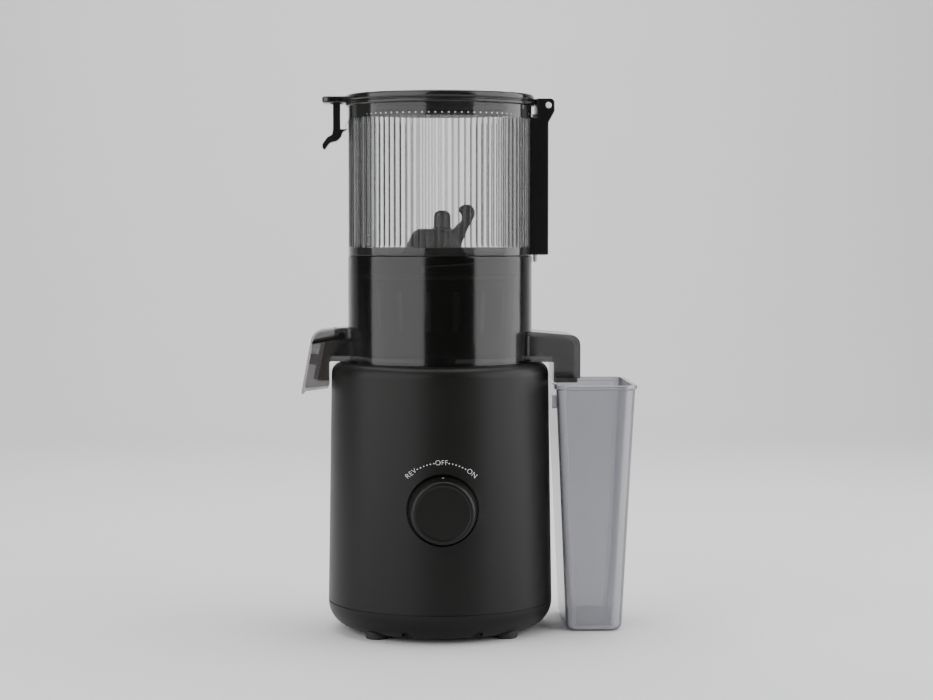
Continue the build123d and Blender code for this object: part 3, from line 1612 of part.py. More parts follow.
def finished(shape):
    """A piece, or a group of equal pieces, in the machine's own frame."""
    solids = []
    for member in shape if isinstance(shape, list) else [shape]:
        solids += [Pos(axis_x, axis_y, 0) * solid for solid in member.solids()]
    return solids[0] if len(solids) == 1 else Compound(children=solids)


os.makedirs("parts", exist_ok=True)
for name, make in PIECES.items():
    piece = finished(make())
    piece.label = name
    export_step(piece, f"parts/{name}.step")
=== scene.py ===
"""Dresses the cold press juicer: its finishes, its moulded outer pieces, the printed dial and the studio."""
import json
import logging
import math
from dataclasses import dataclass, field, replace
from enum import Enum
from typing import Callable, Iterable, Sequence

import bmesh
import bpy
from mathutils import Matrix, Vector


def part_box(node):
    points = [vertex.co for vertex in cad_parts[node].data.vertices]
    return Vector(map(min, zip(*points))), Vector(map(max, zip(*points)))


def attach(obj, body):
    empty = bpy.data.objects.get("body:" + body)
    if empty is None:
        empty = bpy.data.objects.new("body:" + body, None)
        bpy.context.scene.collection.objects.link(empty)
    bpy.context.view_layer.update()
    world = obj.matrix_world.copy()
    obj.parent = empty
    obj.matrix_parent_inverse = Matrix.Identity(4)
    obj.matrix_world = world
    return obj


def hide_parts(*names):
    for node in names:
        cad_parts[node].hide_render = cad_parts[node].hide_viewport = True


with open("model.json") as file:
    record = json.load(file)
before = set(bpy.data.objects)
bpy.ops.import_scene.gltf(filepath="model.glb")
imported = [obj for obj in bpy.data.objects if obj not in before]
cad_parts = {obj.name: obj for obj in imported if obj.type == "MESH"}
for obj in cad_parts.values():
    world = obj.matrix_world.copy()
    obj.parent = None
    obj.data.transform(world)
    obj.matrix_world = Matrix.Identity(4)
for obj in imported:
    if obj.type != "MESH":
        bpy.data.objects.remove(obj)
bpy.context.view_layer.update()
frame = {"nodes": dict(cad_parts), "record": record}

Colour = tuple[float, float, float]
Point2 = tuple[float, float]
Point3 = tuple[float, float, float]

LOG = logging.getLogger("juicer")
MM = 0.001
OCTAVES = 3.0
ROUGH = 0.6
ARC_SHARE = 0.48
ARC_LEAST = 1e-4
FLUTES = 90
PLAIN_DEG = (8.0, 16.0)
FLUTED_SPAN_MM = (305.0, 406.8)
HOPPER_INSIDE_MM = 71.6
SCREEN_RADIUS_MM = 56.0
HOOD_ROOM_MM = (((74.5, -25.8, 216.8), (91.6, 25.8, 235.2)), ((91.5, -25.8, 204.0), (105.9, 25.8, 235.2)))


# ---------------------------------------------------------------------------- shader expressions


class Value:
    """A number socket that takes part in arithmetic."""

    def __init__(self, graph: "Graph", socket: bpy.types.NodeSocket) -> None:
        """Wraps one output socket of a graph."""
        self.graph = graph
        self.socket = socket

    def __add__(self, other: "Value | float") -> "Value":
        """Sum of two values."""
        return self.graph.math("ADD", self, other)

    def __radd__(self, other: float) -> "Value":
        """Sum with a number on the left."""
        return self.graph.math("ADD", other, self)

    def __sub__(self, other: "Value | float") -> "Value":
        """Difference of two values."""
        return self.graph.math("SUBTRACT", self, other)

    def __rsub__(self, other: float) -> "Value":
        """Difference with a number on the left."""
        return self.graph.math("SUBTRACT", other, self)

    def __mul__(self, other: "Value | float") -> "Value":
        """Product of two values."""
        return self.graph.math("MULTIPLY", self, other)

    def __rmul__(self, other: float) -> "Value":
        """Product with a number on the left."""
        return self.graph.math("MULTIPLY", other, self)

    def __truediv__(self, other: "Value | float") -> "Value":
        """Quotient of two values."""
        return self.graph.math("DIVIDE", self, other)

    def __pow__(self, other: float) -> "Value":
        """Power of a value."""
        return self.graph.math("POWER", self, other)

    def __lt__(self, other: "Value | float") -> "Value":
        """One where the value is less than the other, else zero."""
        return self.graph.math("LESS_THAN", self, other)

    def __gt__(self, other: "Value | float") -> "Value":
        """One where the value is greater than the other, else zero."""
        return self.graph.math("GREATER_THAN", self, other)

    def of(self, operation: str, *others: "Value | float") -> "Value":
        """Any other Math operation on this value, with its further terms."""
        return self.graph.math(operation, self, *others)

    def held(self) -> "Value":
        """The value held between zero and one."""
        return self.of("MAXIMUM", 0.0).of("MINIMUM", 1.0)


class Graph:
    """Node tree of one material, with the few calls that the finishes need."""

    def __init__(self, name: str) -> None:
        """Makes an empty material.

        Args:
            name: Name of the material.
        """
        self.material = bpy.data.materials.new(name)
        self.material.use_nodes = True
        self.tree = self.material.node_tree
        self.tree.nodes.clear()

    def node(
        self,
        kind: str,
        settings: dict[str, object] | None = None,
        sockets: dict[str | int, object] | None = None,
    ) -> bpy.types.Node:
        """Makes one node.

        Args:
            kind: Type name of the node.
            settings: Properties of the node, which are set first.
            sockets: Numbers, colours, values or sockets for its inputs.

        Returns:
            The new node.
        """
        made = self.tree.nodes.new(kind)
        for key, setting in (settings or {}).items():
            setattr(made, key, setting)
        for key, given in (sockets or {}).items():
            socket = made.inputs[key]
            if isinstance(given, Value):
                given = given.socket
            if isinstance(given, bpy.types.NodeSocket):
                self.tree.links.new(given, socket)
            elif isinstance(given, tuple) and len(given) == 3 and socket.type == "RGBA":
                socket.default_value = (*given, 1.0)
            else:
                socket.default_value = given
        return made

    def math(self, operation: str, *terms: "Value | float") -> Value:
        """Adds one Math node for an operation on its terms and gives the result."""
        made = self.node("ShaderNodeMath", {"operation": operation}, dict(enumerate(terms)))
        return Value(self, made.outputs[0])

    def places(self) -> bpy.types.NodeSocket:
        """Object coordinates, which are the machine's own frame in metres."""
        return self.node("ShaderNodeTexCoord").outputs["Object"]

    def split(self, vector: bpy.types.NodeSocket) -> list[Value]:
        """The three parts of a vector as values."""
        return [Value(self, part) for part in self.node("ShaderNodeSeparateXYZ", None, {0: vector}).outputs]

    def noise(self, pitch_mm: float, detail: float = 2.0, rough: float = 0.5,
              stretch: Point3 = (1, 1, 1)) -> Value:
        """Noise whose features are about as large as a given pitch.

        Args:
            pitch_mm: Size of the features in millimetres.
            detail: Octaves of the noise.
            rough: Strength of the finer octaves.
            stretch: Scale along each axis.

        Returns:
            The noise, about 0 to 1.
        """
        scaled = self.node("ShaderNodeMapping", None, {"Vector": self.places(), "Scale": stretch}).outputs[0]
        sockets = {"Vector": scaled, "Scale": 1.0 / (pitch_mm * MM), "Detail": detail, "Roughness": rough}
        return Value(self, self.node("ShaderNodeTexNoise", None, sockets).outputs["Fac"])

    def facing(self) -> Value:
        """How far the surface turns away from the eye, 0 to 1."""
        return Value(self, self.node("ShaderNodeLayerWeight", None, {"Blend": 0.5}).outputs["Facing"])

    def mix(self, factor: "Value | float", first: object, second: object) -> bpy.types.NodeSocket:
        """Mixes two colours or sockets by the share of the second."""
        made = self.node("ShaderNodeMix", {"data_type": "RGBA"}, {0: factor, 6: first, 7: second})
        return made.outputs[2]

    def bump(self, height: Value, depth_mm: float) -> bpy.types.NodeSocket:
        """Normal bumped by a height of 0 to 1, whose full step is so many millimetres deep."""
        sockets = {"Strength": 1.0, "Distance": depth_mm * MM, "Height": height}
        return self.node("ShaderNodeBump", None, sockets).outputs[0]

    def principled(self, sockets: dict[str, object]) -> bpy.types.Material:
        """Ends the tree in one Principled shader.

        Args:
            sockets: Numbers, colours or links of the shader.

        Returns:
            The finished material.
        """
        shader = self.node("ShaderNodeBsdfPrincipled", None, sockets)
        self.node("ShaderNodeOutputMaterial", None, {"Surface": shader.outputs[0]})
        return self.material


# ---------------------------------------------------------------------------- finishes


def shaded(colour: Colour, share: float) -> Colour:
    """The colour made darker or lighter by a share."""
    return tuple(part * share for part in colour)


@dataclass(frozen=True)
class Moulded:
    """Opaque moulded plastic or rubber with a fine grain."""

    name: str
    colour: Colour
    roughness: float = 0.45
    grain_mm: float = 0.35
    depth_mm: float = 0.02
    mottle: float = 0.12
    coat: float = 0.0
    specular: float = 0.5
    cloud_mm: float = 22.0
    cloud_rough: float = 0.08
    grain_rough: float = 0.06
    coat_rough: float = 0.12

    def material(self) -> bpy.types.Material:
        """Builds the material.

        Returns:
            The material.
        """
        graph = Graph(self.name)
        cloud = graph.noise(self.cloud_mm, OCTAVES)
        grain = graph.noise(self.grain_mm, rough=ROUGH)
        rough = self.roughness + (cloud - 0.5) * self.cloud_rough + (grain - 0.5) * self.grain_rough
        tones = [shaded(self.colour, 1 + side * self.mottle) for side in (-1, 1)]
        return graph.principled({
            "Base Color": graph.mix(cloud, *tones),
            "Roughness": rough,
            "Normal": graph.bump(grain, self.depth_mm),
            "Coat Weight": self.coat,
            "Coat Roughness": self.coat_rough,
            "Specular IOR Level": self.specular,
        })


@dataclass(frozen=True)
class Clear:
    """Tinted clear plastic that thickens towards its edges; a darker edge colour, where given, is painted
    shade, and an optional band of painted highlight lies where it turns partly away.
    """

    name: str
    tint: Colour
    face: float
    edge: float
    roughness: float = 0.08
    edge_power: float = 2.0
    # A darker edge colour is painted shade where the curved edges bend light away.
    edge_shade_tint: Colour | None = None
    specular: float = 0.6
    ior: float = 1.49
    # Painted highlight: a paler colour painted into a band where the surface turns partly away.
    painted_gleam: float = 0.0
    gleam_colour: Colour = (0.85, 0.85, 0.88)
    gleam_span: Point2 = (0.02, 0.45)
    gleam_slopes: Point2 = (12.0, 8.0)
    hollows: tuple[tuple[Point3, Point3], ...] = ()
    hollow_share: float = 0.6
    flow_mm: float = 30.0
    flow_depth_mm: float = 0.25
    flow_alpha: float = 0.03
    smear_mm: float = 6.0
    smear_rough: float = 0.04

    def material(self) -> bpy.types.Material:
        """Builds the material.

        Returns:
            The material.
        """
        graph = Graph(self.name)
        facing = graph.facing()
        turn = facing ** self.edge_power
        flow = graph.noise(self.flow_mm)
        smear = graph.noise(self.smear_mm, OCTAVES, ROUGH)
        alpha = self.face + turn * (self.edge - self.face) + (flow - 0.5) * self.flow_alpha
        for corners in self.hollows:
            parts = graph.split(graph.places())
            within = [(part > low) * (part < high) for part, low, high in zip(parts, *corners)]
            alpha = alpha * (1.0 - within[0] * within[1] * within[2] * self.hollow_share)
        # The colour turns towards the edge colour at the edges: thicker plastic there, and painted shade
        # where a darker edge colour is given.
        colour = graph.mix(turn, self.tint, self.edge_shade_tint or self.tint)
        # Painted highlight: the gleam colour mixed into the band between the two facing limits.
        if self.painted_gleam:
            begins = ((facing - self.gleam_span[0]) * self.gleam_slopes[0]).held()
            ends = ((self.gleam_span[1] - facing) * self.gleam_slopes[1]).held()
            colour = graph.mix(begins * ends * self.painted_gleam, colour, self.gleam_colour)
        return graph.principled({
            "Base Color": colour,
            "Roughness": self.roughness + (smear - 0.5) * self.smear_rough,
            "Normal": graph.bump(flow, self.flow_depth_mm),
            "Alpha": alpha.of("MINIMUM", 1.0),
            "IOR": self.ior,
            "Specular IOR Level": self.specular,
        })


@dataclass(frozen=True)
class Fluted:
    """Smoky clear plastic with upright flutes, painted pale where they would gather light, with a painted
    dark line on either side of each.
    """

    name: str
    # painted_light: pale colour painted where the flutes would gather light; dark: colour of the plain bands,
    # also used for painted shade on the flutes.
    painted_light: Colour
    dark: Colour
    centre: Point2
    flutes: int
    span_mm: Point2
    inside_mm: float
    plain_deg: Point2 = PLAIN_DEG
    face: float = 0.05
    band: float = 0.62
    edge: float = 0.92
    least: float = 0.02
    # turn_*: painted shade where the wall turns away from the eye.
    turn_start: float = 0.26
    turn_slope: float = 5.5
    turn_shade: float = 0.72
    # line_*: painted dark lines along the edges of each flute.
    line_start: float = 0.45
    line_slope: float = 1.9
    line_power: float = 1.6
    line_shade: float = 2.0
    line_alpha: float = 0.5
    odd_start: float = 0.4
    odd_shade: float = 0.9
    odd_alpha: float = 0.25
    # spark_*: painted glints at the rounded upper ends of the flutes.
    spark_mm: float = 408.9
    spark_half_mm: float = 0.5
    spark_width: float = 0.24
    spark_alpha: float = 0.4
    back_rise_mm: float = 5.0
    # ridge_*: place and painted highlight of the bayonet ridges.
    ridge_mm: tuple[float, float, float] = (68.7, 71.2, 298.0)
    ridge_painted_highlight: Colour = (0.95, 0.95, 0.95)
    ridge_alpha: float = 0.38
    roughness: float = 0.07
    ior: float = 1.49
    specular: float = 0.6
    smear_mm: float = 9.0
    smear_stretch: float = 0.3
    smear_rough: float = 0.05
    flow_mm: float = 40.0
    flow_depth_mm: float = 0.25

    def material(self) -> bpy.types.Material:
        """Builds the material.

        Returns:
            The material.
        """
        graph = Graph(self.name)
        x, y, z = graph.split(graph.places())
        x, y = x - self.centre[0], y - self.centre[1]
        angle, reach = y.of("ARCTAN2", x), (x * x + y * y).of("SQRT")
        count = angle * (self.flutes / (2 * math.pi))
        groove = (count.of("FRACT") - 0.5).of("ABSOLUTE") * 2.0
        low, high = (level * MM for level in self.span_mm)
        near, far, top = (size * MM for size in self.ridge_mm)
        # Painted highlight: the bayonet ridges are painted near-white so that they show through the bowl.
        ridge = (reach > near) * (reach < far) * (z < top)
        inside = (z > low) * (z < (y > 0.0) * (self.back_rise_mm * MM) + high)
        outer = reach > self.inside_mm * MM
        left, right = (math.sin(math.radians(plain)) for plain in self.plain_deg)
        ribbed = (angle.of("SINE").of("ABSOLUTE") > (x > 0.0) * (right - left) + left) * outer
        # Painted shade: the flutes darken as the wall turns away, with a paler painted highlight down the
        # middle of each flute.
        turn = ((graph.facing() - self.turn_start) * self.turn_slope).held()
        # Painted highlight: a bright glint at the upper end of each flute on the front half.
        level = (z - self.spark_mm * MM).of("ABSOLUTE") < self.spark_half_mm * MM
        painted_glint = level * (groove < self.spark_width) * ribbed * (1.0 - turn) * (y < 0.0)
        fluted = inside * ribbed
        # Painted shade: a dark line down either side of each flute.
        line = ((groove - self.line_start) * self.line_slope).of("MAXIMUM", 0.0) ** self.line_power * fluted
        each = graph.node("ShaderNodeTexWhiteNoise", {"noise_dimensions": "1D"}, {"W": count.of("FLOOR")})
        odd = (Value(graph, each.outputs["Value"]) - self.odd_start).of("MAXIMUM", 0.0) * fluted
        # Shade moves the colour from the painted light to the dark colour: painted shade at the sides and
        # lines, random darker flutes and the plain bands.
        shade = turn * (self.turn_shade + groove * (1 - self.turn_shade)) + line * self.line_shade
        shade = (shade + odd * self.odd_shade + (1.0 - inside)).of("MINIMUM", 1.0) * (1.0 - painted_glint)
        alpha = inside * outer * self.face + (1.0 - inside) * self.band + turn * (self.edge - self.face)
        alpha = alpha + line * self.line_alpha + odd * self.odd_alpha
        alpha = alpha + painted_glint * self.spark_alpha + ridge * self.ridge_alpha
        smear = graph.noise(self.smear_mm, OCTAVES, ROUGH, (1, 1, self.smear_stretch))
        # Base colour runs from the painted light to the dark colour by the painted shade, with the painted
        # ridge highlight on top.
        return graph.principled({
            "Base Color": graph.mix(ridge, graph.mix(shade, self.painted_light, self.dark), self.ridge_painted_highlight),
            "Roughness": self.roughness + smear * self.smear_rough,
            "Normal": graph.bump(graph.noise(self.flow_mm), self.flow_depth_mm),
            "Alpha": alpha.of("MAXIMUM", self.least).of("MINIMUM", 1.0),
            "IOR": self.ior,
            "Specular IOR Level": self.specular,
        })


@dataclass(frozen=True)
class Metal:
    """Turned, brushed or plated metal."""

    name: str
    colour: Colour
    roughness: float = 0.28
    brush_mm: float = 0.25
    stretch: Point3 = (1, 1, 8)
    brush_rough: float = 0.16
    brush_depth_mm: float = 0.01
    cloud_mm: float = 9.0
    cloud_share: float = 0.6
    dark_share: float = 0.82

    def material(self) -> bpy.types.Material:
        """Builds the material.

        Returns:
            The material.
        """
        graph = Graph(self.name)
        brush = graph.noise(self.brush_mm, OCTAVES, ROUGH, self.stretch)
        shade = graph.noise(self.cloud_mm) * self.cloud_share + brush * (1 - self.cloud_share)
        return graph.principled({
            "Base Color": graph.mix(shade, shaded(self.colour, self.dark_share), self.colour),
            "Metallic": 1.0,
            "Roughness": self.roughness + (brush - 0.5) * self.brush_rough,
            "Normal": graph.bump(brush, self.brush_depth_mm),
        })


@dataclass(frozen=True)
class Windings:
    """Varnished copper wire wound in fine turns, with painted shade in the valleys between them."""

    name: str
    colour: Colour
    pitch_mm: float = 0.9
    depth_mm: float = 0.2
    dark_share: float = 0.35
    metallic: float = 0.7
    roughness: float = 0.42
    crest_rough: float = 0.1
    varnish: float = 0.5

    def material(self) -> bpy.types.Material:
        """Builds the material.

        Returns:
            The material.
        """
        graph = Graph(self.name)
        height = graph.split(graph.places())[2]
        turns = (height * (2 * math.pi / (self.pitch_mm * MM))).of("SINE") * 0.5 + 0.5
        return graph.principled({
            # Painted shade: the colour darkens by dark_share in the valleys between turns.
            "Base Color": graph.mix(turns, shaded(self.colour, self.dark_share), self.colour),
            "Metallic": self.metallic,
            "Roughness": self.roughness - turns * self.crest_rough,
            "Normal": graph.bump(turns, self.depth_mm),
            "Coat Weight": self.varnish,
        })


@dataclass(frozen=True)
class Perforated:
    """Steel sheet with rows of fine round holes."""

    name: str
    colour: Colour
    centre: Point2
    radius_mm: float
    pitch_mm: float = 1.5
    hole_mm: float = 0.7
    cloud_mm: float = 4.0
    dark_share: float = 0.8
    roughness: float = 0.3
    grain_mm: float = 0.4
    grain_rough: float = 0.1

    def material(self) -> bpy.types.Material:
        """Builds the material.

        Returns:
            The material.
        """
        graph = Graph(self.name)
        x, y, z = graph.split(graph.places())
        angle = (y - self.centre[1]).of("ARCTAN2", x - self.centre[0])
        across = (angle * (self.radius_mm / self.pitch_mm)).of("FRACT") - 0.5
        rise = (z / (self.pitch_mm * MM)).of("FRACT") - 0.5
        reach = (across * across + rise * rise).of("SQRT")
        dark = shaded(self.colour, self.dark_share)
        return graph.principled({
            "Base Color": graph.mix(graph.noise(self.cloud_mm), dark, self.colour),
            "Metallic": 1.0,
            "Roughness": self.roughness + graph.noise(self.grain_mm) * self.grain_rough,
            "Alpha": 1.0 - (reach < self.hole_mm / self.pitch_mm / 2),
        })


@dataclass(frozen=True)
class Board:
    """Lacquered circuit board with paler tracks."""

    name: str
    colour: Colour
    cells_per_metre: float = 180.0
    track: float = 0.06
    track_light: float = 2.4
    track_rough: float = 0.1
    track_depth_mm: float = 0.05
    roughness: float = 0.3

    def material(self) -> bpy.types.Material:
        """Builds the material.

        Returns:
            The material.
        """
        graph = Graph(self.name)
        cells = graph.node("ShaderNodeTexVoronoi", {"feature": "DISTANCE_TO_EDGE", "distance": "EUCLIDEAN"},
                           {"Vector": graph.places(), "Scale": self.cells_per_metre})
        track = Value(graph, cells.outputs["Distance"]) < self.track
        return graph.principled({
            "Base Color": graph.mix(track, self.colour, shaded(self.colour, self.track_light)),
            "Roughness": self.roughness + track * self.track_rough,
            "Normal": graph.bump(track, self.track_depth_mm),
        })


class Slot(Enum):
    """Material slots of the machine's record."""

    MATTE_BLACK = "matte_black"
    BLACK_SATIN = "black_satin"
    BLACK_RUBBER = "black_rubber"
    POST_BLACK = "post_black"
    STEEL = "steel"
    ZINC_STEEL = "zinc_steel"
    BRONZE = "bronze"
    COPPER = "copper"
    FERRITE = "ferrite"
    GREY_NYLON = "grey_nylon"
    WHITE_ACETAL = "white_acetal"
    BOARD_GREEN = "board_green"
    RELAY_BLUE = "relay_blue"
    PALE_MARK = "pale_mark"
    SMOKY_CLEAR = "smoky_clear"
    FLUTED_CLEAR = "fluted_clear"
    LID_SMOKE = "lid_smoke"
    SPOUT_SMOKE = "spout_smoke"
    CONTAINER_CLEAR = "container_clear"
    STRAINER_BLACK = "strainer_black"
    AUGER_BLACK = "auger_black"
    GREY_SILICONE = "grey_silicone"


FINISHES = {
    Slot.MATTE_BLACK: Moulded("matte_black", (0.005, 0.005, 0.0045), 0.38, 0.3, 0.02, specular=0.22),
    Slot.BLACK_SATIN: Moulded("black_satin", (0.005, 0.0045, 0.004), 0.34, 0.25, 0.006, specular=0.24),
    Slot.BLACK_RUBBER: Moulded("black_rubber", (0.014, 0.014, 0.014), 0.75, 0.5, 0.05),
    Slot.POST_BLACK: Moulded("post_black", (0.006, 0.006, 0.0065), 0.22, 0.3, 0.004, coat=0.4),
    Slot.STEEL: Metal("steel", (0.62, 0.62, 0.63)),
    Slot.ZINC_STEEL: Metal("zinc_steel", (0.5, 0.5, 0.5), 0.38, 0.6, (1, 1, 2)),
    Slot.BRONZE: Metal("bronze", (0.55, 0.36, 0.18), 0.4),
    Slot.COPPER: Windings("copper", (0.72, 0.34, 0.16)),
    Slot.FERRITE: Moulded("ferrite", (0.05, 0.05, 0.055), 0.6, 0.6, 0.06),
    Slot.GREY_NYLON: Moulded("grey_nylon", (0.16, 0.16, 0.17), 0.5, 0.5, 0.03),
    Slot.WHITE_ACETAL: Moulded("white_acetal", (0.72, 0.72, 0.7), 0.35, 0.4, 0.01, 0.04),
    Slot.BOARD_GREEN: Board("board_green", (0.02, 0.12, 0.05)),
    Slot.RELAY_BLUE: Moulded("relay_blue", (0.03, 0.08, 0.24), 0.35),
    Slot.PALE_MARK: Moulded("pale_mark", (0.74, 0.74, 0.74), 0.5, 0.2, 0.005, 0.03),
    Slot.SMOKY_CLEAR: Clear("smoky_clear", (0.004, 0.004, 0.0036), 0.69, 0.95, 0.13),
    Slot.LID_SMOKE: Clear("lid_smoke", (0.006, 0.006, 0.0055), 0.9, 0.98, 0.12),
    Slot.SPOUT_SMOKE: Clear("spout_smoke", (0.06, 0.053, 0.05), 0.4, 0.86, 0.1),
    # The container's dark edge colour is painted shade and its gleam a painted highlight, where its curved
    # corners bend light.
    Slot.CONTAINER_CLEAR: Clear("container_clear", (0.27, 0.27, 0.315), 0.43, 0.95, 0.06, 0.8,
                                (0.05, 0.05, 0.056), specular=0.8, ior=1.6, painted_gleam=0.42),
    Slot.STRAINER_BLACK: Moulded("strainer_black", (0.005, 0.005, 0.005), 0.35, specular=0.3),
    Slot.AUGER_BLACK: Moulded("auger_black", (0.008, 0.006, 0.005), 0.4, specular=0.3),
    Slot.GREY_SILICONE: Moulded("grey_silicone", (0.3, 0.3, 0.31), 0.55),
}


class Wardrobe:
    """Makes each finish once and hands it out."""

    def __init__(self, axis: Point2) -> None:
        """Starts with nothing made.

        Args:
            axis: Place of the drive axis, for the finishes that run around it.
        """
        self.made: dict[Slot, bpy.types.Material] = {}
        self.own = {
            "strainer_screen": Perforated("screen_steel", (0.5, 0.5, 0.5), axis, SCREEN_RADIUS_MM).material(),
            "lid_hinge_pin": Metal("pin_steel", (0.95, 0.95, 0.95), 0.6).material(),
        }
        # Pale painted light for the flutes, and the dark colour for the bands and the painted shade.
        fluted = Fluted("fluted_clear", (0.45, 0.46, 0.465), (0.014, 0.014, 0.013), axis, FLUTES,
                        FLUTED_SPAN_MM, HOPPER_INSIDE_MM)
        self.made[Slot.FLUTED_CLEAR] = fluted.material()
        room = tuple(tuple((axis[0] + x * MM, axis[1] + y * MM, z * MM) for x, y, z in corners)
                     for corners in HOOD_ROOM_MM)
        self.made[Slot.SMOKY_CLEAR] = replace(FINISHES[Slot.SMOKY_CLEAR], hollows=room).material()

    def get(self, slot: Slot) -> bpy.types.Material:
        """The material of a slot, made on first use.

        Args:
            slot: The slot.

        Returns:
            Its material.
        """
        if slot not in self.made:
            self.made[slot] = FINISHES[slot].material()
        return self.made[slot]

    def dress_frame(self, nodes: dict[str, bpy.types.Object], subparts: Iterable[dict]) -> None:
        """Gives every node of the frame its finish.

        Args:
            nodes: The frame's nodes by name.
            subparts: The record's nodes with their slots.
        """
        for part in subparts:
            piece = nodes[part["node"]]
            finish = self.own.get(part["node"]) or self.get(Slot(part["material_slot"]))
            piece.data.materials.clear()
            piece.data.materials.append(finish)
            LOG.info("dressed %s as %s", part["node"], part["material_slot"])


# ---------------------------------------------------------------------------- forms


def circle(steps: int) -> list[float]:
    """Angles spread evenly over a full turn."""
    return [2 * math.pi * k / steps for k in range(steps)]


def quarter(steps: int) -> list[float]:
    """Angles from zero to a quarter turn."""
    return [math.radians(90 * k / steps) for k in range(steps + 1)]


def ring(x: float, y: float, radius: float) -> list[Point2]:
    """Round outline about a point."""
    return [(x + radius * math.cos(a), y + radius * math.sin(a)) for a in circle(32)]


def put(name: str, data: bpy.types.ID) -> bpy.types.Object:
    """Makes an object of its data and puts it in the scene.

    Args:
        name: Name of the object.
        data: Its mesh, camera or light.

    Returns:
        The new object.
    """
    made = bpy.data.objects.new(name, data)
    bpy.context.scene.collection.objects.link(made)
    return made


def rounded(corners: Sequence[Point3], steps: int = 6) -> list[Point2]:
    """Outline with its corners rounded.

    Args:
        corners: Corner points, each with its rounding radius as third number.
        steps: Spans along each arc.

    Returns:
        The points of the outline.
    """
    outline: list[Point2] = []
    for number, (x, y, radius) in enumerate(corners):
        here = Vector((x, y))
        back = Vector(corners[number - 1][:2]) - here
        ahead = Vector(corners[(number + 1) % len(corners)][:2]) - here
        half = back.angle(ahead) / 2
        reach = min(radius / math.tan(half), ARC_SHARE * min(back.length, ahead.length))
        if reach < ARC_LEAST:
            outline.append((x, y))
            continue
        radius = reach * math.tan(half)
        back.normalize()
        ahead.normalize()
        middle = here + (back + ahead).normalized() * (radius / math.sin(half))
        first, last = here + back * reach - middle, here + ahead * reach - middle
        sweep = first.angle(last)
        for step in range(steps + 1):
            share = step / steps
            arm = first * math.sin((1 - share) * sweep) + last * math.sin(share * sweep)
            outline.append(tuple(middle + arm / math.sin(sweep)))
    return outline


def oblong(x: Point2, y: Point2, soft: Sequence[float] = (0, 0, 0, 0), steps: int = 6) -> list[Point2]:
    """Outline of a rectangle between two pairs of sides, with a rounding radius for each corner."""
    corners = [(x[0], y[0]), (x[1], y[0]), (x[1], y[1]), (x[0], y[1])]
    return rounded([(*corner, radius) for corner, radius in zip(corners, soft)], steps)


@dataclass
class Form:
    """Mesh under construction, in millimetres from the drive axis."""

    axis: Point2
    shape: bmesh.types.BMesh = field(default_factory=bmesh.new)

    def loop(self, points: Iterable[Point3]) -> list[bmesh.types.BMVert]:
        """Adds the points of one loop."""
        x0, y0 = self.axis
        return [self.shape.verts.new((x0 + x * MM, y0 + y * MM, z * MM)) for x, y, z in points]

    def skin(self, loops: Iterable[Iterable[Point3]], closed: bool = False) -> None:
        """Joins loops of equally many points.

        Args:
            loops: The loops in order.
            closed: True where the last loop joins the first, else both ends get a face.
        """
        rows = [self.loop(points) for points in loops]
        pairs = list(zip(rows, rows[1:])) + ([(rows[-1], rows[0])] if closed else [])
        for first, second in pairs:
            for k in range(len(first)):
                self.shape.faces.new((first[k - 1], first[k], second[k], second[k - 1]))
        if not closed:
            self.shape.faces.new(rows[0][::-1])
            self.shape.faces.new(rows[-1])

    def turn(self, profile: Iterable[Point2], steps: int = 128, closed: bool = True,
             sway: Callable[[float, float, float], float] | None = None) -> None:
        """Turns a profile of radii and heights about the drive axis.

        Args:
            profile: Radii and heights in order.
            steps: Points around.
            closed: True for a ring, False for a solid disc.
            sway: Gives the radius at a radius, height and angle, where it isn't the same all round.
        """
        angles = circle(steps)
        rows = []
        for radius, height in profile:
            reach = [sway(radius, height, a) if sway else radius for a in angles]
            rows.append([(r * math.cos(a), r * math.sin(a), height) for r, a in zip(reach, angles)])
        self.skin(rows, closed)

    def turn_forward(self, profile: Iterable[Point2], height: float, steps: int = 128) -> None:
        """Turns a profile of radii and depths about a line that runs front to back at a height."""
        rim = [(math.cos(a), math.sin(a)) for a in circle(steps)]
        self.skin([[(r * across, y, height + r * up) for across, up in rim] for r, y in profile])

    def slab(self, outline: Sequence[Point2], half_width: float) -> None:
        """Adds a prism of a side outline, as wide on both sides of the middle."""
        self.skin([[(x, y, z) for x, z in outline] for y in (-half_width, half_width)])

    def plate(self, outline: Sequence[Point2], low: float, high: float) -> None:
        """Adds a prism of a plan outline between two heights."""
        self.skin([[(x, y, z) for x, y in outline] for z in (low, high)])

    def soften(self, width: float, sharp_deg: float = 30.0) -> "Form":
        """Rounds the sharp edges.

        Args:
            width: Width of the rounding.
            sharp_deg: Angle above which an edge is sharp.

        Returns:
            The same form.
        """
        bmesh.ops.recalc_face_normals(self.shape, faces=self.shape.faces)
        least = math.radians(sharp_deg)
        sharp = [edge for edge in self.shape.edges if edge.is_manifold and edge.calc_face_angle() > least]
        bmesh.ops.bevel(self.shape, geom=sharp, offset=width * MM, segments=3, profile=0.5, affect="EDGES",
                        clamp_overlap=True)
        return self

    def sector(self, radii: Point2, heights: Point2, start: float, sweep: float, steps: int = 16,
               rise: float = 0.0) -> None:
        """Adds a curved block.

        Args:
            radii: Inner and outer radius.
            heights: Lowest and highest height at the first angle.
            start: First angle in degrees.
            sweep: Angle that it spans in degrees.
            steps: Spans along the arc.
            rise: Height gained from the first angle to the last.
        """
        rows = []
        for step in range(steps + 1):
            a = math.radians(start + sweep * step / steps)
            low, high = (height + rise * step / steps for height in heights)
            corners = [(radii[0], low), (radii[1], low), (radii[1], high), (radii[0], high)]
            rows.append([(r * math.cos(a), r * math.sin(a), z) for r, z in corners])
        self.skin(rows)

    def mesh(self, name: str) -> bpy.types.Mesh:
        """Turns the form into a mesh, which uses the form up.

        Args:
            name: Name of the mesh.

        Returns:
            The new mesh.
        """
        mesh = bpy.data.meshes.new(name)
        bmesh.ops.recalc_face_normals(self.shape, faces=self.shape.faces)
        self.shape.to_mesh(mesh)
        self.shape.free()
        return mesh


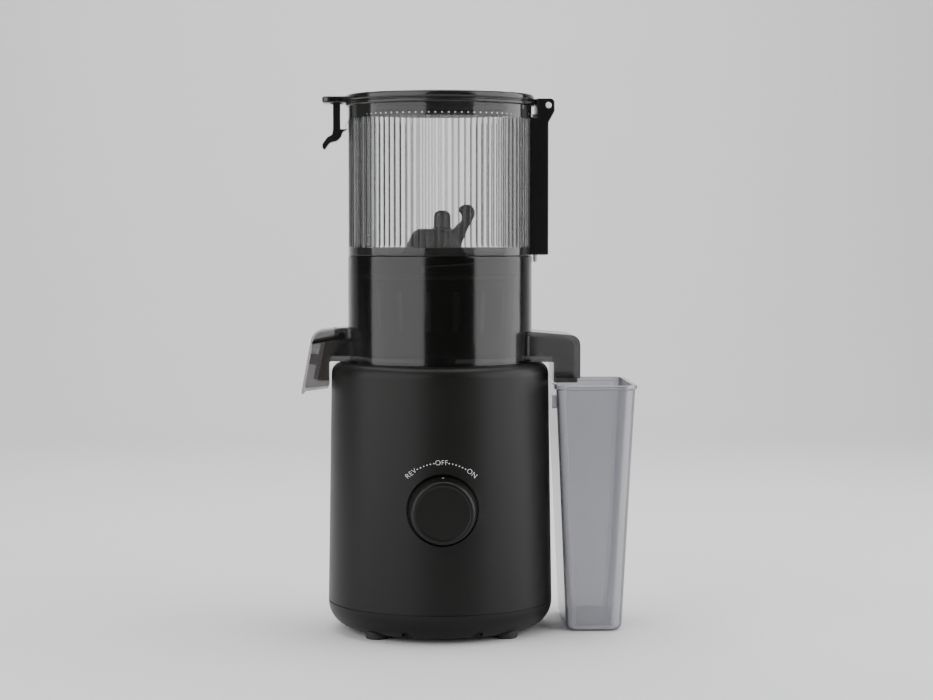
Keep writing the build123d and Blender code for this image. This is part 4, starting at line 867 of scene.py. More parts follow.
@dataclass
class Workshop:
    """Turns forms into pieces, with their finish from a slot, their body and edge rounding."""

    axis: Point2
    wardrobe: Wardrobe

    def form(self) -> Form:
        """An empty form about the drive axis."""
        return Form(self.axis)

    def piece(self, name: str, form: Form, slot: Slot, body: str, replaces: Sequence[str] = (),
              bevel_mm: float = 0.0, sharp_deg: float = 35.0) -> bpy.types.Object:
        """Makes a piece from a form, which is used up. Its other terms are those of dress()."""
        return self.dress(name, form.mesh(name), slot, body, replaces, bevel_mm, sharp_deg)

    def dress(self, name: str, mesh: bpy.types.Mesh, slot: Slot, body: str, replaces: Sequence[str] = (),
              bevel_mm: float = 0.0, sharp_deg: float = 35.0) -> bpy.types.Object:
        """Makes a piece from a mesh.

        Args:
            name: Name of the piece.
            mesh: Its mesh.
            slot: Its material slot.
            body: The body that it rides on.
            replaces: The frame's nodes that it stands for.
            bevel_mm: Width of the rounding of its sharp edges.
            sharp_deg: Angle above which an edge is sharp.

        Returns:
            The new object.
        """
        mesh.polygons.foreach_set("use_smooth", [True] * len(mesh.polygons))
        mesh.set_sharp_from_angle(angle=math.radians(sharp_deg))
        mesh.materials.clear()
        mesh.materials.append(self.wardrobe.get(slot))
        made = put(name, mesh)
        if bevel_mm:
            bevel = made.modifiers.new("edges", "BEVEL")
            bevel.width = bevel_mm * MM
            bevel.segments = 3
            bevel.limit_method = "ANGLE"
            bevel.angle_limit = math.radians(sharp_deg)
            bevel.harden_normals = True
        level = made.modifiers.new("level", "WEIGHTED_NORMAL")
        level.keep_sharp = True
        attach(made, body)
        if replaces:
            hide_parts(*replaces)
        LOG.info("made %s on %s with %d faces", name, body, len(mesh.polygons))
        return made

    def combine(self, form: Form, joined: Sequence[Form] = (), cut: Sequence[Form] = ()) -> Form:
        """Joins forms to a form and then cuts others out.

        Args:
            form: The form to start with.
            joined: Forms added to it.
            cut: Forms taken out of the result.

        Returns:
            The result. All the forms given are used up.
        """
        blocks = [put("block", part.mesh("block")) for part in (form, *joined, *cut)]
        for number, block in enumerate(blocks[1:]):
            step = blocks[0].modifiers.new("step", "BOOLEAN")
            step.solver = "EXACT"
            step.operation = "UNION" if number < len(joined) else "DIFFERENCE"
            step.object = block
        left = self.form()
        left.shape.from_mesh(blocks[0].evaluated_get(bpy.context.evaluated_depsgraph_get()).to_mesh())
        for block in blocks:
            bpy.data.meshes.remove(block.data)
        return left


# ---------------------------------------------------------------------------- pieces


@dataclass
class DialPrint:
    """Printed words and dots above the knob, on the tapered wall of the base."""

    shop: Workshop
    knob_height: float = 104.7
    arc_radius: float = 36.5
    word_angle: float = 39.6
    letter_size: float = 5.5
    letter_gap: float = 1.06
    shift: float = -0.9
    dot_radius: float = 0.48
    dot_start: float = 9.3
    dot_step: float = 4.2
    dot_count: int = 6
    wall_radius: float = 89.6
    wall_foot: float = 23.4
    wall_slope: float = 3.0 / 190.6
    ink: float = 0.08
    ink_share: float = 1.5
    stroke_offset: float = -0.1
    dot_corners: int = 16

    def wrap(self, x: float, z: float) -> Point3:
        """Place on the wall in front of a point of the dial's plane."""
        radius = self.wall_radius - (z - self.wall_foot) * self.wall_slope + self.ink
        return x, -math.sqrt(radius * radius - x * x), z

    def around(self, x: float, up: float, angle: float) -> Point3:
        """Turns a point of the dial about the knob and lays it on the wall.

        Args:
            x: Distance to the right of the dial's middle line.
            up: Distance above the knob's axis.
            angle: Clockwise turn in degrees.

        Returns:
            The place on the wall.
        """
        turn = math.radians(angle)
        return self.wrap(self.shift + x * math.cos(turn) + up * math.sin(turn),
                         self.knob_height + up * math.cos(turn) - x * math.sin(turn))

    def word(self, form: Form, text: str, angle: float) -> None:
        """Adds one word to the print.

        Args:
            form: The print's form.
            text: The word.
            angle: Its place on the arc in degrees.
        """
        curve = bpy.data.curves.new(f"word_{text}", "FONT")
        curve.body = text
        curve.size = self.letter_size
        curve.align_x = "CENTER"
        curve.align_y = "CENTER"
        curve.space_character = self.letter_gap
        curve.offset = self.stroke_offset
        holder = bpy.data.objects.new(f"word_{text}", curve)
        flat = bpy.data.meshes.new_from_object(holder)
        verts = form.loop(self.around(v.co.x, self.arc_radius + v.co.y, angle) for v in flat.vertices)
        for face in flat.polygons:
            form.shape.faces.new([verts[k] for k in face.vertices])
        bpy.data.objects.remove(holder)
        bpy.data.curves.remove(curve)
        bpy.data.meshes.remove(flat)

    def dot(self, form: Form, angle: float) -> None:
        """Adds one dot to the print at an angle of the arc.

        Args:
            form: The print's form.
            angle: Its place on the arc in degrees.
        """
        reach, up = self.dot_radius, self.arc_radius
        rim = circle(self.dot_corners)
        points = [self.around(reach * math.cos(a), up + reach * math.sin(a), angle) for a in rim]
        form.shape.faces.new(form.loop(points))

    def build(self) -> None:
        """Builds the print."""
        form = self.shop.form()
        for text, angle in (("REV", -self.word_angle), ("OFF", 0.0), ("ON", self.word_angle)):
            self.word(form, text, angle)
        for side in (-1, 1):
            for k in range(self.dot_count):
                self.dot(form, side * (self.dot_start + k * self.dot_step))
        made = self.shop.piece("dial_print", form, Slot.PALE_MARK, "base")
        thick = made.modifiers.new("ink", "SOLIDIFY")
        thick.thickness = self.ink_share * self.ink * MM
        thick.offset = -1.0


@dataclass
class ControlKnob:
    """Turned knob with a soft rim and a flat face."""

    shop: Workshop
    height: float = 104.7
    back: float = -82.5
    face: float = -107.0
    back_radius: float = 26.5
    rim_radius: float = 24.4
    rim_round: float = 3.0
    face_dish: float = 0.35

    def build(self) -> None:
        """Builds the knob."""
        profile = [(self.back_radius - 1.6, self.back), (self.back_radius - 0.5, self.back)]
        profile += [(self.back_radius, self.back - 0.6), (self.back_radius - 0.1, self.back - 2.0)]
        profile += [(self.rim_radius - self.rim_round * (1 - math.cos(a)),
                     self.face + self.rim_round * (1 - math.sin(a))) for a in quarter(10)]
        flat = self.rim_radius - self.rim_round
        profile += [(flat - 0.3, self.face), (flat - 0.8, self.face + self.face_dish)]
        profile.append((flat - 1.6, self.face + self.face_dish))
        form = self.shop.form()
        form.turn_forward(profile, self.height)
        self.shop.piece("turning_knob", form, Slot.BLACK_SATIN, "knob", ["control_knob"], sharp_deg=50)


@dataclass
class FeedHopper:
    """Feed tube with upright flutes, its collar, bayonet ridges, catch and rails."""

    shop: Workshop
    radius: float = 73.0
    wall: float = 2.6
    low: float = 298.8
    high: float = 418.0
    collar_low: float = 284.0
    collar_radius: float = 68.4
    bore_radius: float = 62.5
    band: float = 6.2
    top_band: float = 11.2
    flutes: int = FLUTES
    flute_depth: float = 0.8
    flute_power: float = 2.4
    flute_end: float = 3.2
    steps_per_flute: int = 10
    ridge_radius: float = 70.7
    ridge_low: float = 289.8
    ridge_high: float = 290.8
    ridge_rise: float = 2.6
    ridge_start: float = -103.0
    ridge_sweep: float = 33.0
    tick: Point2 = (285.4, 291.4)
    tick_sweep: float = 2.0
    catch_reach: float = 75.4
    catch_heights: tuple[float, float, float] = (399.0, 401.4, 407.5)
    catch_half: float = 9.0
    rail_reach: float = 76.0
    rail_sides: Point2 = (8.0, 14.0)
    rail_heights: Point2 = (309.0, 400.0)
    root: float = 1.5

    def flute(self, radius: float, height: float, angle: float) -> float:
        """Radius of the outer wall, drawn in between two flutes.

        Args:
            radius: Radius of the plain wall.
            height: Height on the wall.
            angle: Angle about the drive axis.

        Returns:
            The radius there.
        """
        foot = self.low + self.band
        top = self.high - (self.top_band if math.sin(angle) < 0 else self.band)
        if radius < self.radius - 0.01 or not foot < height < top:
            return radius
        plain = PLAIN_DEG[math.cos(angle) > 0]
        if abs(math.sin(angle)) < math.sin(math.radians(plain)):
            return radius
        across = 2 * (angle * self.flutes / (2 * math.pi) % 1.0) - 1
        rise = min(1.0, min(height - foot, top - height) / self.flute_end)
        return radius - self.flute_depth * abs(across) ** self.flute_power * math.sin(rise * math.pi / 2)

    def profile(self) -> list[Point2]:
        """Radii and heights around the whole section of the wall.

        Returns:
            The points of the section.
        """
        outer, inner = self.radius, self.radius - self.wall
        foot, top = self.low + self.band, self.high - self.top_band
        ends = [0.0, 0.25, 0.6, 1.1, 1.8, 2.5, self.flute_end]
        rows = [(self.collar_radius - 0.4, self.collar_low), (self.collar_radius, self.collar_low + 0.4)]
        rows += [(self.collar_radius, self.low - 0.3), (self.collar_radius + 0.3, self.low)]
        rows += [(outer - 0.5, self.low), (outer - 0.15, self.low + 0.15), (outer, self.low + 0.5)]
        rows += [(outer, foot + rise) for rise in ends]
        rows += [(outer, foot + (top - foot) * share) for share in (0.25, 0.5, 0.75)]
        rows += [(outer, top - rise) for rise in reversed(ends)]
        rows += [(outer, self.high - 0.6), (outer - 0.2, self.high - 0.2), (outer - 0.6, self.high)]
        rows += [(inner + 0.6, self.high), (inner + 0.2, self.high - 0.2), (inner, self.high - 0.6)]
        rows += [(inner, foot), (self.bore_radius, self.low - 6), (self.bore_radius, self.collar_low + 0.4)]
        rows.append((self.bore_radius + 0.4, self.collar_low))
        return rows

    def build(self) -> None:
        """Builds the hopper."""
        form = self.shop.form()
        form.turn(self.profile(), self.flutes * self.steps_per_flute, sway=self.flute)
        ridge, heights = (self.collar_radius - 1, self.ridge_radius), (self.ridge_low, self.ridge_high)
        for turn in (0, 120, 240):
            start = self.ridge_start + turn
            form.sector(ridge, heights, start, self.ridge_sweep, 24, self.ridge_rise)
            form.sector(ridge, self.tick, start, self.tick_sweep, 3)
        inner = self.radius - self.root
        foot, lip, top = self.catch_heights
        catch = [(-inner, top, 0.0), (-inner, foot, 0.0)]
        catch += [(-self.catch_reach, foot, 0.6), (-self.catch_reach, lip, 1.2)]
        form.slab(rounded(catch), self.catch_half)
        near, far = self.rail_sides
        for side in (-1, 1):
            form.plate(oblong((inner, self.rail_reach), (side * near, side * far)), *self.rail_heights)
        self.shop.piece("fluted_hopper", form, Slot.FLUTED_CLEAR, "hopper", ["hopper"], sharp_deg=42)


@dataclass
class FeedScrew:
    """Moulded auger with soft edges, worked from the frame's own solid."""

    shop: Workshop
    grain_mm: float = 1.0
    passes: int = 8

    def build(self) -> None:
        """Builds the auger."""
        mesh = frame["nodes"]["auger"].data.copy()
        made = self.shop.dress("feed_screw", mesh, Slot.AUGER_BLACK, "auger", ["auger"], sharp_deg=60)
        made.matrix_world = frame["nodes"]["auger"].matrix_world
        cast = made.modifiers.new("cast", "REMESH")
        cast.mode = "VOXEL"
        cast.voxel_size = self.grain_mm * MM
        cast.use_smooth_shade = True
        soft = made.modifiers.new("soft", "SMOOTH")
        soft.factor = 0.5
        soft.iterations = self.passes


@dataclass
class ClearBowl:
    """Bowl with its centre tube, the juice spout on the left and the pulp hood on the right."""

    shop: Workshop
    radius: float = 73.4
    inside: float = 71.0
    low: float = 212.5
    high: float = 298.5
    floor: Point2 = (216.0, 219.0)
    tube: Point2 = (9.6, 13.0)
    tube_top: float = 238.0
    seal_seat: Point2 = (11.45, 233.0)
    outlet_floor: float = 214.8
    spout_half: float = 14.0
    hood_half: float = 28.0
    wall: float = 2.4
    lug_low: float = 293.9
    lug_start: float = -96.0
    lug_sweep: float = 26.0
    lug_height: float = 2.4
    lug_reach: float = 1.7
    lug_root: float = 0.6
    rib_radii: Point2 = (54.0, 66.0)
    rib_angles: Point2 = (20.9, 36.1)
    rib_sweep: float = 3.0
    soft: float = 0.7

    def disc(self, radius: float, low: float, high: float, soft: float) -> Form:
        """Solid disc with a rounded foot and rim.

        Args:
            radius: Radius of its side.
            low: Lowest height.
            high: Highest height.
            soft: Size of the rounding.

        Returns:
            The form.
        """
        form = self.shop.form()
        form.turn([(radius - soft, low), (radius - soft * 0.3, low + soft * 0.3), (radius, low + soft),
                   (radius, low + soft * 1.5), (radius, high - soft * 1.5), (radius, high - soft),
                   (radius - soft * 0.3, high - soft * 0.3), (radius - soft, high)], steps=160, closed=False)
        return form

    def block(self, corners: Sequence[Point3], half: float, soft: float = 0.0) -> Form:
        """Prism of a rounded side outline, with its edges softened.

        Args:
            corners: Corner points with their rounding radii.
            half: Half its width.
            soft: Width of the rounding of its edges.

        Returns:
            The form.
        """
        form = self.shop.form()
        form.slab(rounded(corners), half)
        return form.soften(soft) if soft else form

    def spout(self) -> Form:
        """Outside of the juice spout.

        Returns:
            The form.
        """
        floor = self.outlet_floor
        corners = [(-70.0, floor, 0.0), (-88.2, floor, 1.5), (-88.2, 199.3, 0.8), (-97.7, 199.3, 0.6),
                   (-91.4, 229.8, 2.0), (-84.0, 236.0, 1.0), (-84.0, 239.5, 1.2), (-81.45, 241.2, 1.5),
                   (-70.0, 242.0, 0.0)]
        return self.block(corners, self.spout_half, self.soft)

    def spout_room(self) -> Form:
        """Inside of the juice spout.

        Returns:
            The form.
        """
        floor = self.floor[1]
        corners = [(-63.0, floor, 0.0), (-90.6, floor, 2.0), (-90.6, 201.7, 0.0), (-106.1, 201.7, 0.0),
                   (-106.1, 227.4, 0.0), (-89.0, 227.4, 3.0), (-84.0, 232.6, 2.0), (-63.0, 232.6, 0.0)]
        return self.block(corners, self.spout_half - self.wall)

    def hood(self) -> Form:
        """Outside of the pulp hood and its duct.

        Returns:
            The form.
        """
        floor = self.outlet_floor
        corners = [(70.0, floor, 0.0), (89.2, floor, 1.5), (89.2, 198.5, 0.8), (108.0, 198.5, 0.6),
                   (108.0, 201.8, 0.3), (110.4, 201.8, 0.6), (110.4, 235.5, 8.0), (70.0, 239.0, 0.0)]
        return self.block(corners, self.hood_half, 1.2)

    def hood_room(self) -> Form:
        """Inside of the pulp hood and its duct.

        Returns:
            The form.
        """
        floor = self.floor[1]
        corners = [(63.0, floor, 0.0), (91.6, floor, 2.0), (91.6, 193.5, 0.0), (105.6, 193.5, 0.0),
                   (105.6, 232.1, 5.6), (63.0, 235.6, 0.0)]
        return self.block(corners, self.hood_half - self.wall)

    def build(self) -> None:
        """Builds the bowl."""
        under = self.disc(self.inside - 1.0, self.low - 2.0, self.floor[0], 0.4)
        room = self.disc(self.inside, self.floor[1], self.high + 3.0, 2.5)
        body = self.disc(self.radius, self.low, self.high, self.soft)
        bore, outer = self.tube
        hole = self.disc(outer - 0.5, self.floor[0] - 1, self.floor[1] + 1, 0.1)
        form = self.shop.combine(body, [self.spout(), self.hood()],
                                 [room, under, hole, self.spout_room(), self.hood_room()])
        seat, seat_low = self.seal_seat
        form.turn([(outer, self.floor[0]), (outer, self.tube_top - 0.5), (outer - 0.5, self.tube_top),
                   (seat, self.tube_top), (seat, seat_low), (bore, seat_low), (bore, self.floor[0])], 96)
        lug, rib = (self.lug_low, self.lug_low + self.lug_height), (self.low + 0.5, self.floor[0] + 0.5)
        ends = (self.inside - self.lug_reach, self.inside + self.lug_root)
        for turn in (0, 120, 240):
            form.sector(ends, lug, self.lug_start + turn, self.lug_sweep, 20)
            for angle in self.rib_angles:
                form.sector(self.rib_radii, rib, angle + turn, self.rib_sweep, 2)
        self.shop.piece("clear_bowl", form, Slot.SMOKY_CLEAR, "bowl", ["juicing_bowl"], sharp_deg=32)


@dataclass
class DripCap:
    """Swinging cap of the juice spout, with two cheeks, a front wall and a raised arm on each cheek."""

    shop: Workshop
    pivot: Point2 = (-78.9, 234.4)
    knuckle: float = 5.2
    outer_half: float = 16.5
    inner_half: float = 14.5
    arm_end: Point2 = (-101.8, 229.6)
    arm_thick: float = 2.8
    arm_raise: float = 0.6
    boss: float = 3.4

    def outline(self) -> list[Point2]:
        """Side outline with a round knuckle at the pivot.

        Returns:
            The points of the outline.
        """
        x, z = self.pivot
        soft = self.knuckle
        return rounded([(x + soft, z + soft, soft), (x, z + soft, 0.0), (-84.6, 241.2, 2.0),
                        (-95.4, 239.8, 3.0), (-99.6, 237.6, 3.0), (-102.4, 233.8, 3.0), (-110.0, 192.6, 2.0),
                        (-110.4, 189.0, 0.8), (-108.4, 189.0, 0.8), (-107.2, 191.2, 1.0), (-88.4, 193.6, 2.5),
                        (-88.4, 216.0, 4.0), (x, z - soft, 0.0), (x + soft, z - soft, soft)])

    def room(self) -> list[Point2]:
        """Side outline of the room inside.

        Returns:
            The points of the outline.
        """
        return rounded([(-68.5, 247.2, 0.0), (-84.6, 247.2, 0.0), (-84.6, 239.4, 0.5), (-94.9, 238.0, 2.0),
                        (-98.4, 236.2, 2.0), (-100.6, 233.3, 2.0), (-107.9, 193.6, 1.0), (-98.5, 194.4, 0.3),
                        (-98.5, 184.4, 0.0), (-68.5, 184.4, 0.0)])

    def arm(self) -> list[Point2]:
        """Side outline of an arm, from the round boss at the pivot to its far end.

        Returns:
            The points of the outline.
        """
        pivot, end = Vector(self.pivot), Vector(self.arm_end)
        along = (end - pivot).normalized()
        across = Vector((-along.y, along.x)) * (self.arm_thick / 2)
        neck = math.asin(self.arm_thick / 2 / self.boss)
        start = math.atan2(along.y, along.x) - neck
        turns = [start - 2 * (math.pi - neck) * k / 20 for k in range(21)]
        boss = [tuple(pivot + Vector((math.cos(turn), math.sin(turn))) * self.boss) for turn in turns]
        return [tuple(end + across), tuple(end - across), *boss]

    def build(self) -> None:
        """Builds the cap and its arms."""
        body, room, arms = (self.shop.form() for _ in range(3))
        body.slab(self.outline(), self.outer_half)
        room.slab(self.room(), self.inner_half)
        form = self.shop.combine(body.soften(0.6), [], [room])
        self.shop.piece("drip_cap", form, Slot.SPOUT_SMOKE, "spout_cap", ["spout_cap"], sharp_deg=32)
        for side in (-1, 1):
            near, far = side * (self.outer_half - 0.4), side * (self.outer_half + self.arm_raise)
            arms.skin([[(x, y, z) for x, z in self.arm()] for y in (near, far)])
        self.shop.piece("cap_arms", arms.soften(0.25), Slot.LID_SMOKE, "spout_cap")


@dataclass
class HingePost:
    """Upright with the lid's hinge ears, softened all round."""

    shop: Workshop
    inner: float = 65.0
    low: float = 299.2
    reach: float = 85.6
    ear_foot: float = 404.0
    ear_low: float = 412.7
    ear_top: float = 422.8
    ear_left: float = 76.3
    ear_right: float = 90.4
    half: float = 18.0
    seat: float = 73.05
    gap_half: float = 12.0
    gap_low: float = 410.4
    rail: tuple[float, float, float, float, float] = (76.05, 7.95, 14.05, 308.95, 400.05)
    rod: tuple[float, float, float, float] = (76.4, 1.95, 3.45, 380.0)
    pin: tuple[float, float, float] = (85.4, 417.4, 2.42)

    def outline(self) -> list[Point2]:
        """Side outline with the rounded ear and the bend below it.

        Returns:
            The points of the outline.
        """
        shoulder = self.ear_foot + 4
        return rounded([(self.inner, self.low, 0.0), (self.reach, self.low, 1.2),
                        (self.reach, self.ear_foot, 6.0), (self.ear_right, self.ear_low, 1.5),
                        (self.ear_right, self.ear_top, 3.5), (self.ear_left, self.ear_top, 1.0),
                        (self.ear_left, shoulder, 0.0), (self.inner, shoulder, 0.0)])

    def upright(self, x: float, radius: float, low: float, high: float) -> Form:
        """Upright cylinder at a distance to the right of the drive axis.

        Args:
            x: That distance.
            radius: Its radius.
            low: Lowest height.
            high: Highest height.

        Returns:
            The form.
        """
        form = self.shop.form()
        form.plate(ring(x, 0.0, radius), low, high)
        return form

    def block(self, x: Point2, y: Point2, z: Point2) -> Form:
        """Plain block between three pairs of places.

        Args:
            x: Places of its left and right side.
            y: Places of its front and back.
            z: Its lowest and highest height.

        Returns:
            The form.
        """
        form = self.shop.form()
        form.plate(oblong(x, y), *z)
        return form

    def build(self) -> None:
        """Builds the post."""
        body, seat, bore = (self.shop.form() for _ in range(3))
        body.slab(self.outline(), self.half)
        seat.turn([(self.seat, self.low - 1), (self.seat, self.ear_top + 1)], 192, closed=False)
        x, z, radius = self.pin
        bore.slab(ring(x, z, radius), self.half + 1)
        left = self.inner - 1
        gap = (-self.gap_half, self.gap_half), (self.gap_low, self.ear_top + 2)
        cuts = [seat, self.block((left, self.ear_right + 2), *gap), bore]
        reach, near, far, low, high = self.rail
        cuts += [self.block((left, reach), (near * side, far * side), (low, high)) for side in (-1, 1)]
        x, thin, wide, spring_low = self.rod
        cuts += [self.upright(x, radius, foot, self.ear_top)
                 for radius, foot in ((thin, self.low - 1), (wide, spring_low))]
        form = self.shop.combine(body.soften(0.9), [], cuts)
        self.shop.piece("lid_post", form, Slot.POST_BLACK, "hopper", ["hinge_post"], sharp_deg=32)


@dataclass
class HingedLid:
    """Dished lid with two rounded bands around its side, the hinge arm and the latch tab."""

    shop: Workshop
    radius: float = 75.2
    low: float = 416.8
    split: float = 420.1
    high: float = 425.6
    bulge: float = 1.1
    dish_radius: float = 68.5
    dish: float = 1.6
    crown: float = 0.25
    plate: float = 2.6
    skirt: float = 1.5
    hinge: Point2 = (85.4, 417.4)
    knuckle: float = 5.2
    arm_half: float = 11.5
    tab: Point2 = (-93.4, -73.2)
    tab_heights: Point2 = (419.2, 424.5)
    tab_half: float = 13.0
    tab_round: float = 5.0
    slot: Point2 = (-87.0, -77.2)
    slot_half: float = 8.4
    slot_round: float = 0.8
    nub: Point2 = (76.0, 79.6)
    nub_heights: Point2 = (411.4, 419.4)
    nub_half: float = 4.0
    nub_round: float = 0.6

    def band(self, low: float, high: float) -> list[Point2]:
        """Convex band between two heights.

        Args:
            low: Lowest height.
            high: Highest height.

        Returns:
            Its points from low to high.
        """
        middle, half = (low + high) / 2, (high - low) / 2
        shares = [k / 5 - 1 for k in range(11)]
        return [(self.radius - self.bulge * abs(share) ** 3, middle + share * half) for share in shares]

    def profile(self) -> list[Point2]:
        """Section of the lid's disc from its underside out to the side and in to the dish.

        Returns:
            The points of the section.
        """
        under = self.high - self.dish - self.plate
        inner = self.radius - self.skirt - 0.6
        rows = [(1.0, under), (inner - 1.0, under), (inner, under - 0.6), (inner, self.low + 0.3)]
        rows += self.band(self.low, self.split - 0.2) + self.band(self.split + 0.2, self.high)
        edge = self.dish_radius
        rows += [(self.radius - 2.4, self.high), (edge + 1.0, self.high), (edge + 0.3, self.high - 0.3)]
        rows += [(edge - 0.3, self.high - self.dish + 0.4), (edge - 1.2, self.high - self.dish)]
        low = self.high - self.dish
        rows += [(edge * share, low + self.crown * (1 - share * share)) for share in (0.75, 0.5, 0.25)]
        rows.append((1.0, low + self.crown))
        return rows

    def hinge_outline(self) -> list[Point2]:
        """Side outline of the arm with its round knuckle and the nub over the rod.

        Returns:
            The points of the outline.
        """
        x, z = self.hinge
        top, right = z + self.knuckle, x + self.knuckle
        high = z + 0.6
        return rounded([(right, top, self.knuckle), (71.2, top, 0.3), (71.2, high, 0.3),
                        (x - self.knuckle, high, 0.5), (x - self.knuckle, z - self.knuckle, self.knuckle),
                        (right, z - self.knuckle, self.knuckle)])

    def build(self) -> None:
        """Builds the lid."""
        form = self.shop.form()
        form.turn(self.profile(), 192, closed=False)
        arm, nub, tab, slot = (self.shop.form() for _ in range(4))
        arm.slab(self.hinge_outline(), self.arm_half)
        nub.slab(oblong(self.nub, self.nub_heights, (self.nub_round, self.nub_round, 0, 0)), self.nub_half)
        low, high = self.tab_heights
        outline = oblong(self.tab, (-self.tab_half, self.tab_half), (self.tab_round, 0, 0, self.tab_round))
        tab.plate(outline, low, high)
        outline = oblong(self.slot, (-self.slot_half, self.slot_half), [self.slot_round] * 4)
        slot.plate(outline, low - 2, high + 2)
        form = self.shop.combine(form, [arm.soften(0.6), nub, self.shop.combine(tab.soften(1.4), [], [slot])])
        self.shop.piece("hinged_lid", form, Slot.LID_SMOKE, "lid", ["lid"], sharp_deg=32)


@dataclass
class SnapLatch:
    """Latch with a round head, an upright bar, a hook and a curved finger tail."""

    shop: Workshop
    pivot: Point2 = (-82.0, 421.6)
    bar: Point2 = (-84.85, -79.15)
    head_top: float = 424.4
    hook_top: float = 398.7
    hook_tip: float = -74.0
    tail_height: float = 399.0
    half_width: float = 8.0

    def outline(self) -> list[Point2]:
        """Side outline with rounded corners.

        Returns:
            The points of the outline.
        """
        left, right = self.bar
        x, z = self.pivot[0], self.tail_height
        corners = [(left, self.head_top, 2.8), (left, self.hook_top, 3.0)]
        tail = [(-3.5, -4.6, 2.0), (-7.6, -6.7, 4.0), (-11.4, -12.3, 3.0), (-11.2, -15.2, 1.2),
                (-9.8, -16.9, 0.8), (-5.4, -11.0, 5.0), (0.5, -9.6, 4.0), (3.5, -6.3, 3.0), (4.8, -2.4, 2.0)]
        corners += [(x + along, z + rise, radius) for along, rise, radius in tail]
        corners += [(self.hook_tip, self.hook_top - 0.6, 0.2), (self.hook_tip, self.hook_top, 0.2)]
        corners += [(right, self.hook_top, 0.5), (right, self.head_top, 2.8)]
        return rounded(corners, 5)

    def build(self) -> None:
        """Builds the latch."""
        form = self.shop.form()
        form.slab(self.outline(), self.half_width)
        self.shop.piece("snap_latch", form, Slot.POST_BLACK, "latch", ["lid_latch"], 0.9, 50)


@dataclass
class PulpBin:
    """Tall tapered container with rounded corners, a rolled rim and a lug."""

    shop: Workshop
    height: float = 196.5
    rim_x: Point2 = (91.0, 154.0)
    floor_x: Point2 = (100.0, 144.5)
    rim_half: float = 57.5
    floor_half: float = 47.5
    middle: float = 19.5
    corner: float = 10.0
    wall: float = 2.0
    edge: float = 5.0
    lip: float = 1.5
    lip_height: float = 3.0
    lug_half: float = 7.0
    lug_root: float = 1.6
    lug_reach: float = 2.5
    lug_heights: Point2 = (176.5, 186.5)

    def section(self, height: float, inset: float) -> list[Point3]:
        """Rounded rectangle at a height.

        Args:
            height: Height of the section.
            inset: Distance inside the outer wall.

        Returns:
            Its points.
        """
        share = height / self.height
        low = self.floor_x[0] + (self.rim_x[0] - self.floor_x[0]) * share + inset
        high = self.floor_x[1] + (self.rim_x[1] - self.floor_x[1]) * share - inset
        half = self.floor_half + (self.rim_half - self.floor_half) * share - inset
        soft = max(self.corner - inset, 1.5)
        outline = oblong((low, high), (self.middle - half, self.middle + half), [soft] * 4, 8)
        return [(x, y, height) for x, y in outline]

    def build(self) -> None:
        """Builds the container."""
        top, lip, wall = self.height, self.lip, self.wall
        under, inner = top - self.lip_height, self.edge - wall
        rows = [(self.edge * (1 - math.cos(a)), self.edge * (1 - math.sin(a))) for a in quarter(6)]
        rows += [(top * share, 0.0) for share in (0.25, 0.5, 0.75)]
        rows += [(under - 0.6, 0.0), (under, 0.3 - lip), (under + 0.3, -lip), (top - 0.7, -lip)]
        rows += [(top - 0.15, 0.3 - lip), (top, 0.9 - lip), (top, wall - 0.6), (top - 0.5, wall)]
        rows += [(top * share, wall) for share in (0.75, 0.5, 0.25)]
        rows += [(wall + inner * (1 - math.sin(a)), wall + inner * (1 - math.cos(a)))
                 for a in reversed(quarter(4))]
        form = self.shop.form()
        form.skin([self.section(height, inset) for height, inset in rows])
        left = self.rim_x[0]
        lug = oblong((left - self.lug_root, left + self.lug_reach), (-self.lug_half, self.lug_half))
        form.plate(lug, *self.lug_heights)
        body = "pulp_container"
        self.shop.piece("pulp_bin", form, Slot.CONTAINER_CLEAR, body, [body], sharp_deg=50)


# ---------------------------------------------------------------------------- studio


@dataclass(frozen=True)
class Lamp:
    """Soft area light, placed and aimed from the drive axis, in metres and watts."""

    name: str
    place: Point3
    aim: Point3
    size: Point2
    power: float


BOX_REACH = 1.2
BOX_HEIGHT = 0.62
BOX_AIM = (0, 0, 0.3)
BOX_SIZE = (1.96, 1.5)


def softbox(name: str, bearing: float, power: float) -> Lamp:
    """Tall light on one side of the machine.

    Args:
        name: Name of the light.
        bearing: Its bearing in degrees from the front.
        power: Power in watts.

    Returns:
        The light.
    """
    turn = math.radians(bearing)
    place = (BOX_REACH * math.sin(turn), -BOX_REACH * math.cos(turn), BOX_HEIGHT)
    return Lamp(name, place, BOX_AIM, BOX_SIZE, power)


LAMPS = (
    softbox("left", -56.7, 26.0),
    softbox("right", 78.2, 31.0),
    Lamp("top", (0.0, 0.2, 1.9), (0, 0.2, 0.0), (1.8, 1.2), 30.0),
    Lamp("backdrop", (0.0, 0.9, 1.7), (0, 2.0, 0.5), (2.4, 0.8), 30.0),
)


